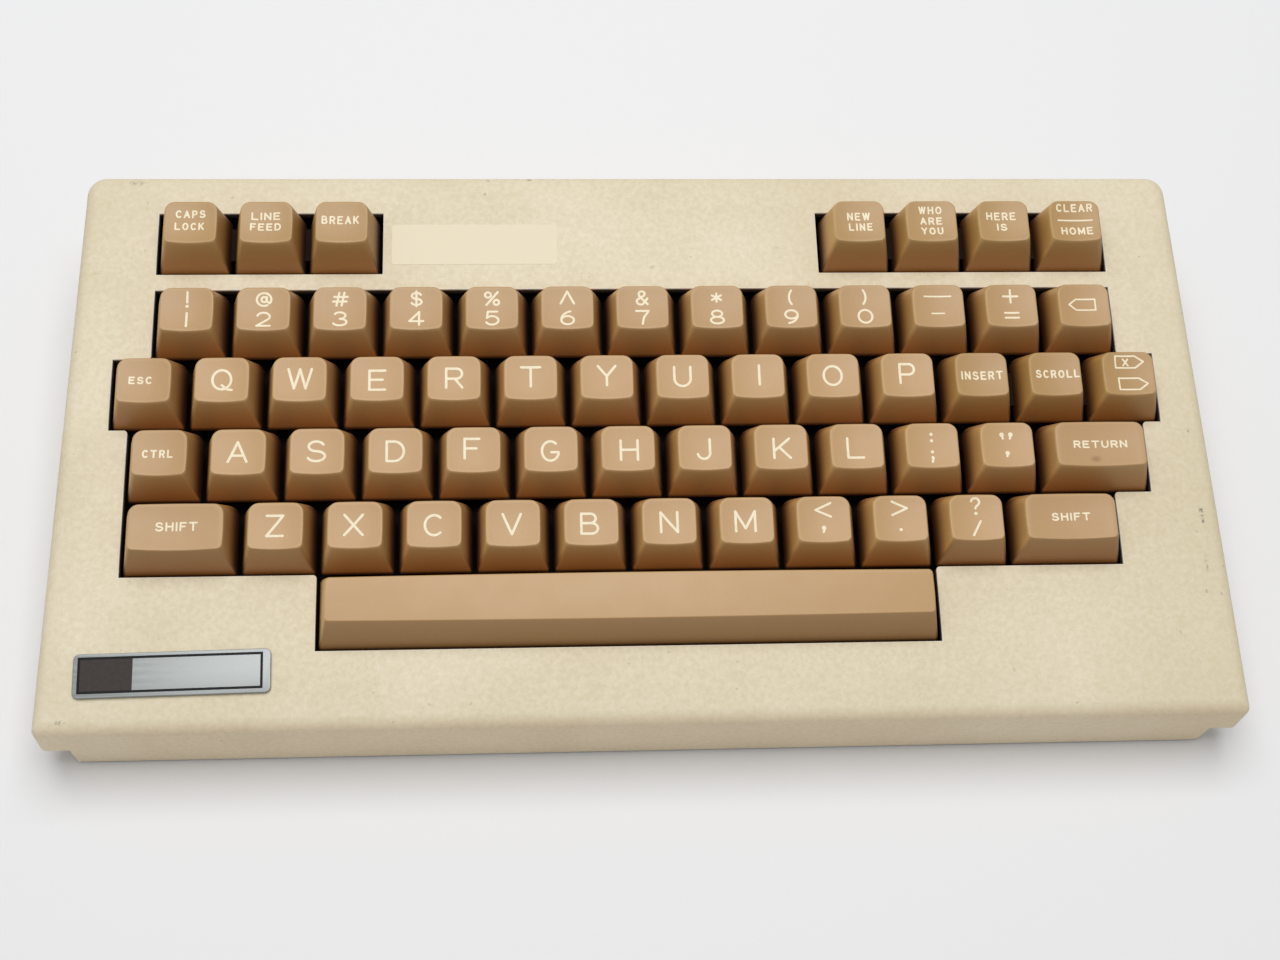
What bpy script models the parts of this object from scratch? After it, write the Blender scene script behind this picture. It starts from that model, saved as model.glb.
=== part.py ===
"""The detached keyboard of a teleprinter: a wedge-shaped case in two shells, with sixty travelling keys.

Metres, +Z up, +X to the typist's right, +Y to the back. The origin is the middle of the footprint.
Run it with blender --background --python part.py, or from the text editor.
"""

import math

import bmesh
import bpy
from mathutils import Matrix, Vector

# Case
# The land of the case's top outside the widest key row, at its front and at its back edge
FRONT_SIDE_LAND = 0.01465
BACK_SIDE_LAND = 0.01035
# The land behind the function row's windows
BACK_LAND = 0.01198
CASE_SLOPE = math.radians(6.5)
# The height at which the sloping top would meet the front wall, measured from the table
CASE_FRONT_HEIGHT = 0.0235
CASE_WALL = 0.0025
CASE_EDGE_RADIUS = 0.003
FRONT_CORNER_RADIUS = 0.0016
BACK_CORNER_RADIUS = 0.005
LEAST_CORNER_RADIUS = 0.0005
# Depth of the upper shell's side walls, square to the top, and how far in they lean at the top
SHELL_DEPTH = 0.0133
SHELL_DRAFT = 0.0006
# How far the base stands in from the shell, and how much further in it is at the bottom
SIDE_STEP = 0.0062
BACK_STEP = 0.004
BASE_DRAFT = 0.0003
BASE_CORNER_RADIUS = 0.003
BASE_FRONT_PLAY = 0.0006
# The shell's front wall reaches down to the floor between these bevelled ends
SKIRT_END_BEVEL = 0.001
# Running gap between pieces that touch on the real object
SEAM_GAP = 0.0003

# Feet, moulded in one with the base
FOOT_HEIGHT = 0.001
FOOT_DIAMETER = 0.013
FOOT_FROM_SIDE = 0.031
FOOT_FROM_END = 0.021

# Screw posts: the upper shell's stand on those of the base
POST_DIAMETER = 0.006
POST_FROM_SIDE = 0.0142
POST_FROM_FRONT = 0.0105
POST_FROM_BACK = 0.0145
POST_PLAY = 0.0009
SCREW_PILOT_DIAMETER = 0.0026
SCREW_PILOT_DEPTH = 0.008
SCREW_HOLE_DIAMETER = 0.0034
SCREW_HEAD_DIAMETER = 0.0066
SCREW_HEAD_DEPTH = 0.0035
BASE_POST_DIAMETER = 0.0098
BASE_POST_HEIGHT = 0.0065

# Key field, along the slope from the front wall to the middle of the home row
HOME_ROW_FROM_FRONT = 0.0665
KEY_PITCH = 0.01905
KEY_GAP = 0.00085
KEY_TRAVEL = 0.004
BEZEL_CLEARANCE = 0.0003
BEZEL_CORNER_RADIUS = 0.0009
FUNCTION_WINDOW_DEPTH = 0.0174

# Key caps, from the top of the case
CAP_HEIGHT = 0.009
CAP_SKIRT_DROP = 0.0018
CAP_SIDE_LEAN = 0.0026
CAP_FRONT_LEAN = 0.0039
CAP_BACK_LEAN = 0.003
CAP_TOP_FRONT_RADIUS = 0.0012
CAP_TOP_BACK_RADIUS = 0.0022
CAP_BACK_RADIUS = 0.0034
CAP_FRONT_RADIUS = 0.0009
CAP_DISH_ACROSS = 0.0006
CAP_DISH_ALONG = 0.0005
CAP_WALL = 0.0014
FUNCTION_CAP_HEIGHT = 0.0098
FUNCTION_CAP_DEPTH = 0.0168
FUNCTION_CAP_FRONT_LEAN = 0.0044
FUNCTION_CAP_BACK_LEAN = 0.0013
LINK_WIDTH = 0.009
LINK_THICKNESS = 0.0009

# Space bar
BAR_HEIGHT = 0.0082
BAR_SIDE_LEAN = 0.0022
BAR_FRONT_LEAN = 0.0047
BAR_BACK_LEAN = 0.0026
BAR_TOP_RADIUS = 0.0009
BAR_BACK_RADIUS = 0.0014

# Switches, mounting plate and circuit board, square to the top of the case
STEM_WIDTH = 0.0038
STEM_CLEARANCE = 0.0003
STEM_LENGTH = 0.0091
HOUSING_WIDTH = 0.014
HOUSING_TAPER = 0.0003
HOUSING_CLEARANCE = 0.0006
HOUSING_FLOOR = 0.001
PLATE_DEPTH = 0.0088
PLATE_THICKNESS = 0.0012
PLATE_PLAY = 0.001
BOARD_THICKNESS = 0.0016
BOARD_MARGIN_ACROSS = 0.0004
BOARD_MARGIN_ALONG = 0.0015
BOARD_CORNER_RADIUS = 0.001

# Space bar stabiliser
WIRE_DIAMETER = 0.0016
WIRE_BEND_RADIUS = 0.0016
WIRE_ARM = 0.012
WIRE_HALF_SPAN = 0.052
WIRE_HOOK = 0.0042
WIRE_PIVOT_RISE = 0.0017
CLIP_SPREAD = 0.07
CLIP_WIDTH = 0.004
CLIP_DEPTH = 0.0046
CLIP_FLOOR = 0.0006
LUG_WIDTH = 0.0038
LUG_DEPTH = 0.0066
LUG_WALL = 0.0009
LUG_PLAY = 0.0005

# Name plate
NAMEPLATE_LENGTH = 0.0466
NAMEPLATE_WIDTH = 0.0108
NAMEPLATE_THICKNESS = 0.0008
NAMEPLATE_CORNER_RADIUS = 0.0014
NAMEPLATE_GLUE = 0.0001
NAMEPLATE_FROM_SIDE = 0.01
NAMEPLATE_FROM_FRONT = 0.0084
NAMEPLATE_TURN = math.radians(1.0)

# Cord socket in the back wall
SOCKET_WIDTH = 0.014
SOCKET_HEIGHT = 0.012
SOCKET_DEPTH = 0.013
SOCKET_MOUTH_WIDTH = 0.011
SOCKET_MOUTH_HEIGHT = 0.008
SOCKET_MOUTH_DEPTH = 0.0105
SOCKET_FLANGE = 0.0016
SOCKET_FLANGE_THICKNESS = 0.0015
SOCKET_FROM_SIDE = 0.045
SOCKET_RISE = 0.0022
SOCKET_PROUD = 0.0005

# Overrun of every cutter past the faces it opens
OVERRUN = 0.001
# How far joined shapes sink into each other
BITE = 0.0005
# Points closer than this are one point
WELD = 0.00001

# Steps of the arcs
CASE_CORNER_STEPS = 7
CASE_EDGE_STEPS = 5
CAP_CORNER_STEPS = 3
SMALL_CORNER_STEPS = 4
ROUND_STEPS = 16
BEND_STEPS = 4
DISH_RING_SHARE = 0.52
# Edges sharper than this stay sharp where a round shape is shaded smooth
SHARP_ANGLE = math.radians(35)

# Key rows, all in key pitches. A row is its distance behind the home row, where its first key
# starts from the middle of the case, and its keys from left to right with their widths. A node that
# BANKS names is that many keys, linked side by side, which travel together.
FUNCTION_ROW_SHARE = 3.19
KEY_ROW_SHARES = (
    (FUNCTION_ROW_SHARE, -6.5, (("function_keys_left", 3),)),
    (FUNCTION_ROW_SHARE, 2.5, (("function_keys_right", 4),)),
    (2, -6.5, (("key_1", 1), ("key_2", 1), ("key_3", 1), ("key_4", 1), ("key_5", 1), ("key_6", 1),
               ("key_7", 1), ("key_8", 1), ("key_9", 1), ("key_0", 1), ("key_minus", 1),
               ("key_equals", 1), ("key_backspace", 1))),
    (1, -7, (("key_escape", 1), ("key_q", 1), ("key_w", 1), ("key_e", 1), ("key_r", 1),
             ("key_t", 1), ("key_y", 1), ("key_u", 1), ("key_i", 1), ("key_o", 1), ("key_p", 1),
             ("editing_keys", 3))),
    (0, -6.75, (("key_control", 1), ("key_a", 1), ("key_s", 1), ("key_d", 1), ("key_f", 1),
                ("key_g", 1), ("key_h", 1), ("key_j", 1), ("key_k", 1), ("key_l", 1),
                ("key_semicolon", 1), ("key_quote", 1), ("key_return", 1.5))),
    (-1, -6.75, (("key_shift_left", 1.5), ("key_z", 1), ("key_x", 1), ("key_c", 1), ("key_v", 1),
                 ("key_b", 1), ("key_n", 1), ("key_m", 1), ("key_comma", 1), ("key_period", 1),
                 ("key_slash", 1), ("key_shift_right", 1.5))),
    (-2, -4.25, (("space_bar", 8),)),
)
BANKS = ("function_keys_left", "function_keys_right", "editing_keys")

# Colours as red, green, blue, then roughness and metallic
CASE_BEIGE = ((0.74, 0.65, 0.48), 0.55, 0.0)
KEY_BROWN = ((0.53, 0.38, 0.26), 0.5, 0.0)
PLATE_STEEL = ((0.45, 0.45, 0.44), 0.4, 0.9)
BOARD_GREEN = ((0.06, 0.22, 0.10), 0.5, 0.0)
WIRE_STEEL = ((0.6, 0.6, 0.6), 0.3, 1.0)
SOCKET_BLACK = ((0.03, 0.03, 0.03), 0.5, 0.0)
NAMEPLATE_ALUMINIUM = ((0.62, 0.62, 0.6), 0.35, 0.9)

# Derived sizes and places
KEY_FIELD_WIDTH = KEY_PITCH * 2 * max(-start for _, start, _ in KEY_ROW_SHARES)
KEY_FIELD_BACK = FUNCTION_ROW_SHARE * KEY_PITCH + FUNCTION_WINDOW_DEPTH / 2
CASE_FRONT_WIDTH = KEY_FIELD_WIDTH + 2 * FRONT_SIDE_LAND
CASE_BACK_WIDTH = KEY_FIELD_WIDTH + 2 * BACK_SIDE_LAND
CASE_DEPTH = (HOME_ROW_FROM_FRONT + KEY_FIELD_BACK + BACK_LAND) * math.cos(CASE_SLOPE)
FRONT_Y = -CASE_DEPTH / 2
BACK_Y = CASE_DEPTH / 2
SLOPE_COS = math.cos(CASE_SLOPE)
SLOPE_SIN = math.sin(CASE_SLOPE)
SLOPE_TAN = math.tan(CASE_SLOPE)
LEDGE_DEPTH = PLATE_DEPTH + PLATE_THICKNESS + SEAM_GAP
HOUSING_TOP_DEPTH = CAP_SKIRT_DROP + KEY_TRAVEL + HOUSING_CLEARANCE
BORE_WIDTH = STEM_WIDTH + 2 * STEM_CLEARANCE
STEM_FOOT = CAP_SKIRT_DROP + STEM_LENGTH
BORE_FOOT = STEM_FOOT + KEY_TRAVEL + BITE
BOARD_DEPTH = BORE_FOOT + HOUSING_FLOOR
HOUSING_TOP_WIDTH = HOUSING_WIDTH - 2 * HOUSING_TAPER
PLATE_HOLE_WIDTH = HOUSING_WIDTH + 2 * SEAM_GAP
WIRE_TILT = math.asin(KEY_TRAVEL / 2 / WIRE_ARM)
WIRE_RADIUS = WIRE_DIAMETER / 2
WIRE_PIVOT_DEPTH = PLATE_DEPTH - WIRE_PIVOT_RISE
HOME_ROW_Y = FRONT_Y + HOME_ROW_FROM_FRONT * SLOPE_COS
HOME_ROW_Z = CASE_FRONT_HEIGHT + HOME_ROW_FROM_FRONT * SLOPE_SIN


# Scene

def clear_scene():
    for obj in list(bpy.data.objects):
        bpy.data.objects.remove(obj)


def new_collection(name):
    collection = bpy.data.collections.new(name)
    bpy.context.scene.collection.children.link(collection)
    return collection


def material(name, look):
    colour, roughness, metallic = look
    made = bpy.data.materials.new(name)
    made.use_nodes = True
    shader = made.node_tree.nodes["Principled BSDF"]
    shader.inputs["Base Color"].default_value = (*colour, 1.0)
    shader.inputs["Roughness"].default_value = roughness
    shader.inputs["Metallic"].default_value = metallic
    return made


def place(name, mesh, collection, look=None, parent=None, location=(0, 0, 0)):
    """An object of the mesh, in the collection, under the parent."""
    obj = bpy.data.objects.new(name, mesh)
    collection.objects.link(obj)
    obj.parent = parent
    obj.location = location
    if look:
        mesh.materials.append(look)
    return obj


def make_cutter(name, mesh, parent=None, location=(0, 0, 0)):
    obj = place(name, mesh, CUTTERS, parent=parent, location=location)
    obj.hide_render = True
    obj.display_type = "WIRE"
    return obj


def boolean(obj, other, operation):
    modifier = obj.modifiers.new(other.name, "BOOLEAN")
    modifier.operation = operation
    modifier.solver = "EXACT"
    modifier.object = other


def evaluated_mesh(obj, name):
    """The object's mesh with its modifiers in it; the object and its cutters can then go."""
    bpy.context.view_layer.update()
    graph = bpy.context.evaluated_depsgraph_get()
    mesh = bpy.data.meshes.new_from_object(obj.evaluated_get(graph))
    mesh.name = name
    return mesh


# Shapes

def shade(mesh):
    """The mesh, shaded smooth round its arcs."""
    mesh.shade_smooth()
    mesh.set_sharp_from_angle(angle=SHARP_ANGLE)
    return mesh


def finish_mesh(bm, name):
    bmesh.ops.recalc_face_normals(bm, faces=bm.faces)
    mesh = bpy.data.meshes.new(name)
    bm.to_mesh(mesh)
    bm.free()
    return mesh


def boxes(name, spans):
    """Boxes in one mesh, each from its low corner to its high corner."""
    bm = bmesh.new()
    for low, high in spans:
        low, high = Vector(low), Vector(high)
        frame = Matrix.Translation((low + high) / 2) @ Matrix.Diagonal((*(high - low), 1))
        bmesh.ops.create_cube(bm, size=1, matrix=frame)
    return finish_mesh(bm, name)


def cylinders(name, places, diameter, low, high, steps=ROUND_STEPS):
    """Upright cylinders in one mesh, at each place (x, y)."""
    bm = bmesh.new()
    for x, y in places:
        frame = Matrix.Translation((x, y, (low + high) / 2))
        bmesh.ops.create_cone(bm, cap_ends=True, segments=steps, radius1=diameter / 2,
                              radius2=diameter / 2, depth=high - low, matrix=frame)
    return shade(finish_mesh(bm, name))


def loft(name, rings):
    """A closed solid through rings of as many points each, with a face on the first and the last."""
    bm = bmesh.new()
    made = [[bm.verts.new(point) for point in ring] for ring in rings]
    count = len(made[0])
    for near, far in zip(made, made[1:]):
        for i in range(count):
            j = (i + 1) % count
            bm.faces.new((near[i], near[j], far[j], far[i]))
    bm.faces.new(made[0])
    bm.faces.new(made[-1])
    return finish_mesh(bm, name)


def rounded(corners, radii, steps):
    """The outline with an arc of each radius in place of its corner, and a corner where it is 0."""
    points = []
    for i, (corner, radius) in enumerate(zip(corners, radii)):
        corner = Vector(corner)
        if not radius:
            points.append(corner)
            continue
        before = (Vector(corners[i - 1]) - corner).normalized()
        after = (Vector(corners[(i + 1) % len(corners)]) - corner).normalized()
        half = before.angle(after) / 2
        centre = corner + (before + after).normalized() * radius / math.sin(half)
        start = corner + before * radius / math.tan(half) - centre
        turn = start.angle_signed(corner + after * radius / math.tan(half) - centre)
        for step in range(steps + 1):
            points.append(centre + Matrix.Rotation(-turn * step / steps, 2) @ start)
    return points


def rectangle(half_x, front, back):
    return ((-half_x, front), (half_x, front), (half_x, back), (-half_x, back))


def prism(name, outline, low, high):
    """A flat outline raised from low to high."""
    curve = bpy.data.curves.new(name, "CURVE")
    curve.dimensions = "2D"
    curve.fill_mode = "BOTH"
    curve.extrude = (high - low) / 2
    spline = curve.splines.new("POLY")
    spline.points.add(len(outline) - 1)
    for point, (x, y) in zip(spline.points, outline):
        point.co = (x, y, 0, 1)
    spline.use_cyclic_u = True
    obj = place(name, curve, CUTTERS)
    mesh = evaluated_mesh(obj, name)
    bpy.data.objects.remove(obj)
    bm = bmesh.new()
    bm.from_mesh(mesh)
    bmesh.ops.remove_doubles(bm, verts=bm.verts, dist=WELD)
    bmesh.ops.translate(bm, verts=bm.verts, vec=(0, 0, (low + high) / 2))
    return finish_mesh(bm, name)


# Case outlines

def half_width(y):
    """Half of the case's width, which narrows from front to back."""
    share = (y - FRONT_Y) / CASE_DEPTH
    return (CASE_FRONT_WIDTH + (CASE_BACK_WIDTH - CASE_FRONT_WIDTH) * share) / 2


def below_top(depth):
    """The height, at each y, of the plane that lies this far under the case's top, square to it."""
    return lambda y: CASE_FRONT_HEIGHT + (y - FRONT_Y) * SLOPE_TAN - depth / SLOPE_COS


def level(height):
    return lambda y: height


def shell_lean(depth):
    """How far in the shell's walls are, this deep under the top."""
    return SHELL_DRAFT * (1 - depth / SHELL_DEPTH)


def case_ring(inset, radii, height, marks=(), mark_height=None):
    """The case's plan, inset at its sides, front and back, at a height that follows y.

    The marks are places along the front wall, and the inner ones may have a height of their own.
    """
    side, front, back = inset
    near, far = FRONT_Y + front, BACK_Y - back
    corners = [(-half_width(near) + side, near), (half_width(near) - side, near),
               (half_width(far) - side, far), (-half_width(far) + side, far)]
    outline = rounded(corners, radii, CASE_CORNER_STEPS)
    ring = [Vector((x, y, height(y))) for x, y in outline]
    if not marks:
        return ring
    outer, inner = marks
    sill = mark_height or height
    row = [(-outer, height), (-inner, sill), (inner, sill), (outer, height)]
    at = CASE_CORNER_STEPS + 1
    return ring[:at] + [Vector((x, near, z(near))) for x, z in row] + ring[at:]


def wall_radii(inset):
    front = max(FRONT_CORNER_RADIUS - inset, LEAST_CORNER_RADIUS)
    back = max(BACK_CORNER_RADIUS - inset, LEAST_CORNER_RADIUS)
    return (front, front, back, back)


# Key field

def keys_of_row(start, keys):
    """Each key cell of a row: its node, its left edge and its width, in pitches."""
    left = start
    for name, width in keys:
        count = width if name in BANKS else 1
        for _ in range(count):
            yield name, left, width / count
            left += width / count


def key_cells():
    """Every key's node, the middle of its cell in the key plane, its width in pitches and its row."""
    for row, start, keys in KEY_ROW_SHARES:
        for name, left, width in keys_of_row(start, keys):
            yield name, (left + width / 2) * KEY_PITCH, row * KEY_PITCH, width, row


def row_span(row):
    """The left and right edge of a row's cells."""
    edges = [(x - width * KEY_PITCH / 2, x + width * KEY_PITCH / 2)
             for _, x, _, width, found in key_cells() if found == row]
    return min(edges)[0], max(edges)[1]


def main_opening():
    """The stepped outline round the five lower rows, rounded where the case juts into it."""
    rows = sorted({row for row, _, _ in KEY_ROW_SHARES} - {FUNCTION_ROW_SHARE})
    right, left = [], []
    for row in rows:
        low, high = row_span(row)
        front, back = (row - 0.5) * KEY_PITCH, (row + 0.5) * KEY_PITCH
        right += [(high + BEZEL_CLEARANCE, front), (high + BEZEL_CLEARANCE, back)]
        left += [(low - BEZEL_CLEARANCE, front), (low - BEZEL_CLEARANCE, back)]
    corners = without_straights(right + left[::-1])
    return rounded(corners, [bezel_radius(corners, i) for i in range(len(corners))],
                   SMALL_CORNER_STEPS)


def turn_at(points, i):
    before = Vector(points[i]) - Vector(points[i - 1])
    after = Vector(points[(i + 1) % len(points)]) - Vector(points[i])
    return before.cross(after)


def without_straights(points):
    """The points without those that lie on a straight run or twice in one place."""
    apart = [p for i, p in enumerate(points) if (Vector(p) - Vector(points[i - 1])).length > WELD]
    return [p for i, p in enumerate(apart) if abs(turn_at(apart, i)) > WELD ** 2]


def bezel_radius(corners, i):
    return BEZEL_CORNER_RADIUS if turn_at(corners, i) < 0 else 0


def function_windows():
    """The low and high corner, in the key plane, of each window in the function row."""
    middle = FUNCTION_ROW_SHARE * KEY_PITCH
    for row, start, keys in KEY_ROW_SHARES:
        if row == FUNCTION_ROW_SHARE:
            width = sum(width for _, width in keys)
            yield (start * KEY_PITCH - BEZEL_CLEARANCE, middle - FUNCTION_WINDOW_DEPTH / 2,
                   (start + width) * KEY_PITCH + BEZEL_CLEARANCE, middle + FUNCTION_WINDOW_DEPTH / 2)


# Case

def post_places():
    """Where the four screw posts stand."""
    for y in (FRONT_Y + POST_FROM_FRONT, BACK_Y - POST_FROM_BACK):
        for side in (-1, 1):
            x = side * (min(CASE_FRONT_WIDTH, CASE_BACK_WIDTH) / 2 - POST_FROM_SIDE)
            yield x, y


def shell_ring(inset, depth, marks, sill=None):
    """The shell's plan this deep under the top, with its side and back walls leaning in."""
    leaning = inset + shell_lean(depth)
    return case_ring((leaning, inset, leaning), wall_radii(inset), below_top(depth), marks, sill)


def upper_case():
    skirt_end = half_width(FRONT_Y) - SIDE_STEP
    inner_marks = (skirt_end, skirt_end - BASE_DRAFT)
    outer_marks = tuple(mark - SKIRT_END_BEVEL for mark in inner_marks)
    rings = []
    for step in range(CASE_EDGE_STEPS + 1):
        turn = math.pi / 2 * step / CASE_EDGE_STEPS
        inset = CASE_EDGE_RADIUS * (1 - math.sin(turn))
        sunk = CASE_EDGE_RADIUS * (1 - math.cos(turn))
        rings.append(shell_ring(inset, sunk, outer_marks))
    sill = level(FOOT_HEIGHT)
    rings.append(shell_ring(0, SHELL_DEPTH, outer_marks, sill))
    rings.append(shell_ring(CASE_WALL, SHELL_DEPTH, inner_marks, sill))
    rings.append(shell_ring(CASE_WALL, CASE_WALL, inner_marks))
    shell = place("upper_case", shade(loft("upper_case", rings)), PARTS,
                  material("upper_case_beige", CASE_BEIGE))

    through = CASE_WALL + OVERRUN
    opening = prism("main_opening", main_opening(), -through, OVERRUN)
    boolean(shell, make_cutter("main_opening", opening, KEY_PLANE), "DIFFERENCE")
    windows = [((x0, y0, -through), (x1, y1, OVERRUN)) for x0, y0, x1, y1 in function_windows()]
    cutter = make_cutter("function_windows", boxes("function_windows", windows), KEY_PLANE)
    boolean(shell, cutter, "DIFFERENCE")

    for i, (x, y) in enumerate(post_places()):
        foot = FOOT_HEIGHT + BASE_POST_HEIGHT + SEAM_GAP
        head = below_top(CASE_WALL / 2)(y)
        post = make_cutter(f"post_{i}", cylinders(f"post_{i}", [(x, y)], POST_DIAMETER, foot, head))
        boolean(shell, post, "UNION")
        pilot = cylinders(f"pilot_{i}", [(x, y)], SCREW_PILOT_DIAMETER, foot - OVERRUN,
                          foot + SCREW_PILOT_DEPTH, ROUND_STEPS // 2)
        boolean(shell, make_cutter(f"pilot_{i}", pilot), "DIFFERENCE")
    return shell


def lower_case():
    front = CASE_WALL + SEAM_GAP
    side = front + shell_lean(LEDGE_DEPTH)
    lip = (side, front, side)
    radii = (BASE_CORNER_RADIUS,) * 4
    base_front = front + BASE_FRONT_PLAY
    top = (SIDE_STEP, base_front, BACK_STEP)
    bottom = (SIDE_STEP + BASE_DRAFT, base_front + BASE_DRAFT / 2, BACK_STEP + BASE_DRAFT)
    top_inside = tuple(inset + CASE_WALL for inset in top)
    bottom_inside = tuple(inset + CASE_WALL for inset in bottom)
    ledge_foot = LEDGE_DEPTH + CASE_WALL
    rings = [
        case_ring(bottom, radii, level(FOOT_HEIGHT)),
        case_ring(top, radii, below_top(ledge_foot)),
        case_ring(lip, wall_radii(front), below_top(ledge_foot)),
        case_ring(lip, wall_radii(front), below_top(LEDGE_DEPTH)),
        case_ring(top_inside, radii, below_top(LEDGE_DEPTH)),
        case_ring(bottom_inside, radii, level(FOOT_HEIGHT + CASE_WALL)),
    ]
    tray = place("lower_case", shade(loft("lower_case", rings)), PARTS,
                 material("lower_case_beige", CASE_BEIGE))

    foot_x = CASE_BACK_WIDTH / 2 - FOOT_FROM_SIDE
    foot_y = CASE_DEPTH / 2 - FOOT_FROM_END
    feet = [(x, y) for x in (-foot_x, foot_x) for y in (-foot_y, foot_y)]
    feet_mesh = cylinders("feet", feet, FOOT_DIAMETER, 0, FOOT_HEIGHT + BITE)
    boolean(tray, make_cutter("feet", feet_mesh), "UNION")

    posts = list(post_places())
    floor = FOOT_HEIGHT + CASE_WALL
    shapes = (
        ("base_posts", BASE_POST_DIAMETER, floor - BITE, FOOT_HEIGHT + BASE_POST_HEIGHT, "UNION"),
        ("screw_heads", SCREW_HEAD_DIAMETER, -OVERRUN, FOOT_HEIGHT + SCREW_HEAD_DEPTH, "DIFFERENCE"),
        ("screw_holes", SCREW_HOLE_DIAMETER, FOOT_HEIGHT, FOOT_HEIGHT + BASE_POST_HEIGHT + OVERRUN,
         "DIFFERENCE"),
    )
    for name, diameter, low, high, operation in shapes:
        mesh = cylinders(name, posts, diameter, low, high)
        boolean(tray, make_cutter(name, mesh), operation)
    hole = boxes("socket_hole", [socket_span(SEAM_GAP, SOCKET_DEPTH, OVERRUN)])
    boolean(tray, make_cutter("socket_hole", hole), "DIFFERENCE")
    return tray


# Cord socket

def socket_middle():
    x = CASE_BACK_WIDTH / 2 - SOCKET_FROM_SIDE
    z = FOOT_HEIGHT + CASE_WALL + SOCKET_RISE + SOCKET_HEIGHT / 2
    return x, BACK_Y - BACK_STEP + SOCKET_PROUD, z


def socket_span(margin, inward, outward, width=SOCKET_WIDTH, height=SOCKET_HEIGHT):
    """A box round the socket's middle, from inward of its face to outward of it."""
    x, face, z = socket_middle()
    half_x, half_z = width / 2 + margin, height / 2 + margin
    return (x - half_x, face - inward, z - half_z), (x + half_x, face + outward, z + half_z)


def cord_socket():
    inner_face = SOCKET_PROUD + BASE_DRAFT + CASE_WALL + SEAM_GAP
    body = boxes("cord_socket", [socket_span(0, SOCKET_DEPTH, 0)])
    socket = place("cord_socket", body, PARTS, material("socket_black", SOCKET_BLACK))
    flange = boxes("socket_flange", [socket_span(SOCKET_FLANGE, inner_face + SOCKET_FLANGE_THICKNESS,
                                                 -inner_face)])
    boolean(socket, make_cutter("socket_flange", flange), "UNION")
    mouth = boxes("socket_mouth", [socket_span(0, SOCKET_MOUTH_DEPTH, OVERRUN, SOCKET_MOUTH_WIDTH,
                                               SOCKET_MOUTH_HEIGHT)])
    boolean(socket, make_cutter("socket_mouth", mouth), "DIFFERENCE")
    return socket


# Keys

def cap_outline(half_x, front, back, front_radius, back_radius):
    radii = (front_radius, front_radius, back_radius, back_radius)
    return rounded(rectangle(half_x, front, back), radii, CAP_CORNER_STEPS)


def dished(outline, half_x, front, back, height, share=1.0):
    """The outline, drawn in by the share, on a top that sinks towards its middle."""
    middle, half_y = (front + back) / 2, (back - front) / 2
    points = []
    for x, y in outline:
        x, y = x * share, middle + (y - middle) * share
        across = CAP_DISH_ACROSS * (1 - (x / half_x) ** 2)
        along = CAP_DISH_ALONG * (1 - ((y - middle) / half_y) ** 2)
        points.append(Vector((x, y, height - across - along)))
    return points


def cap_shape(name, width, depth, height, leans, radii, bar=False):
    """A hollow cap with its stem, about the middle of its cell in the key plane."""
    side_lean, front_lean, back_lean = leans
    skirt_front_radius, skirt_back_radius, top_front_radius, top_back_radius = radii
    half_x = width / 2
    top_x, front, back = half_x - side_lean, front_lean - depth / 2, depth / 2 - back_lean
    skirt = cap_outline(half_x, -depth / 2, depth / 2, skirt_front_radius, skirt_back_radius)
    top = cap_outline(top_x, front, back, top_front_radius, top_back_radius)
    rings = [[Vector((x, y, -CAP_SKIRT_DROP)) for x, y in skirt]]
    if bar:
        rings.append([Vector((x, y, height)) for x, y in top])
    else:
        rings.append(dished(top, top_x, front, back, height))
        rings.append(dished(top, top_x, front, back, height, DISH_RING_SHARE))
    cap = place(name, loft(name, rings), CUTTERS)

    hollow_foot = -CAP_SKIRT_DROP - OVERRUN
    ceiling = height - CAP_WALL - CAP_DISH_ACROSS - CAP_DISH_ALONG
    hollow = loft(name + "_hollow", [
        [Vector((x, y, hollow_foot)) for x, y in
         rectangle(half_x - CAP_WALL, CAP_WALL - depth / 2, depth / 2 - CAP_WALL)],
        [Vector((x, y, ceiling)) for x, y in
         rectangle(top_x - CAP_WALL / 2, front + CAP_WALL / 2, back - CAP_WALL / 2)],
    ])
    boolean(cap, make_cutter(name + "_hollow", hollow), "DIFFERENCE")
    half_stem = STEM_WIDTH / 2
    stem = boxes(name + "_stem", [((-half_stem, -half_stem, -STEM_FOOT),
                                   (half_stem, half_stem, ceiling + BITE))])
    boolean(cap, make_cutter(name + "_stem", stem), "UNION")
    return cap, ceiling


def finished(obj, name):
    """The mesh of a shape with its modifiers in it, and the shape's object gone."""
    mesh = shade(evaluated_mesh(obj, name))
    bpy.data.objects.remove(obj)
    return mesh


CAP_LEANS = (CAP_SIDE_LEAN, CAP_FRONT_LEAN, CAP_BACK_LEAN)
FUNCTION_CAP_LEANS = (CAP_SIDE_LEAN, FUNCTION_CAP_FRONT_LEAN, FUNCTION_CAP_BACK_LEAN)
BAR_LEANS = (BAR_SIDE_LEAN, BAR_FRONT_LEAN, BAR_BACK_LEAN)
CAP_RADII = (CAP_FRONT_RADIUS, CAP_BACK_RADIUS, CAP_TOP_FRONT_RADIUS, CAP_TOP_BACK_RADIUS)
BAR_RADII = (CAP_FRONT_RADIUS, BAR_BACK_RADIUS, BAR_TOP_RADIUS, BAR_TOP_RADIUS)


def cap_mesh(width_share, function_row=False):
    width = width_share * KEY_PITCH - KEY_GAP
    if function_row:
        cap, _ = cap_shape("function_cap", width, FUNCTION_CAP_DEPTH, FUNCTION_CAP_HEIGHT,
                           FUNCTION_CAP_LEANS, CAP_RADII)
    else:
        cap, _ = cap_shape("cap", width, KEY_PITCH - KEY_GAP, CAP_HEIGHT, CAP_LEANS, CAP_RADII)
    return finished(cap, "cap")


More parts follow.
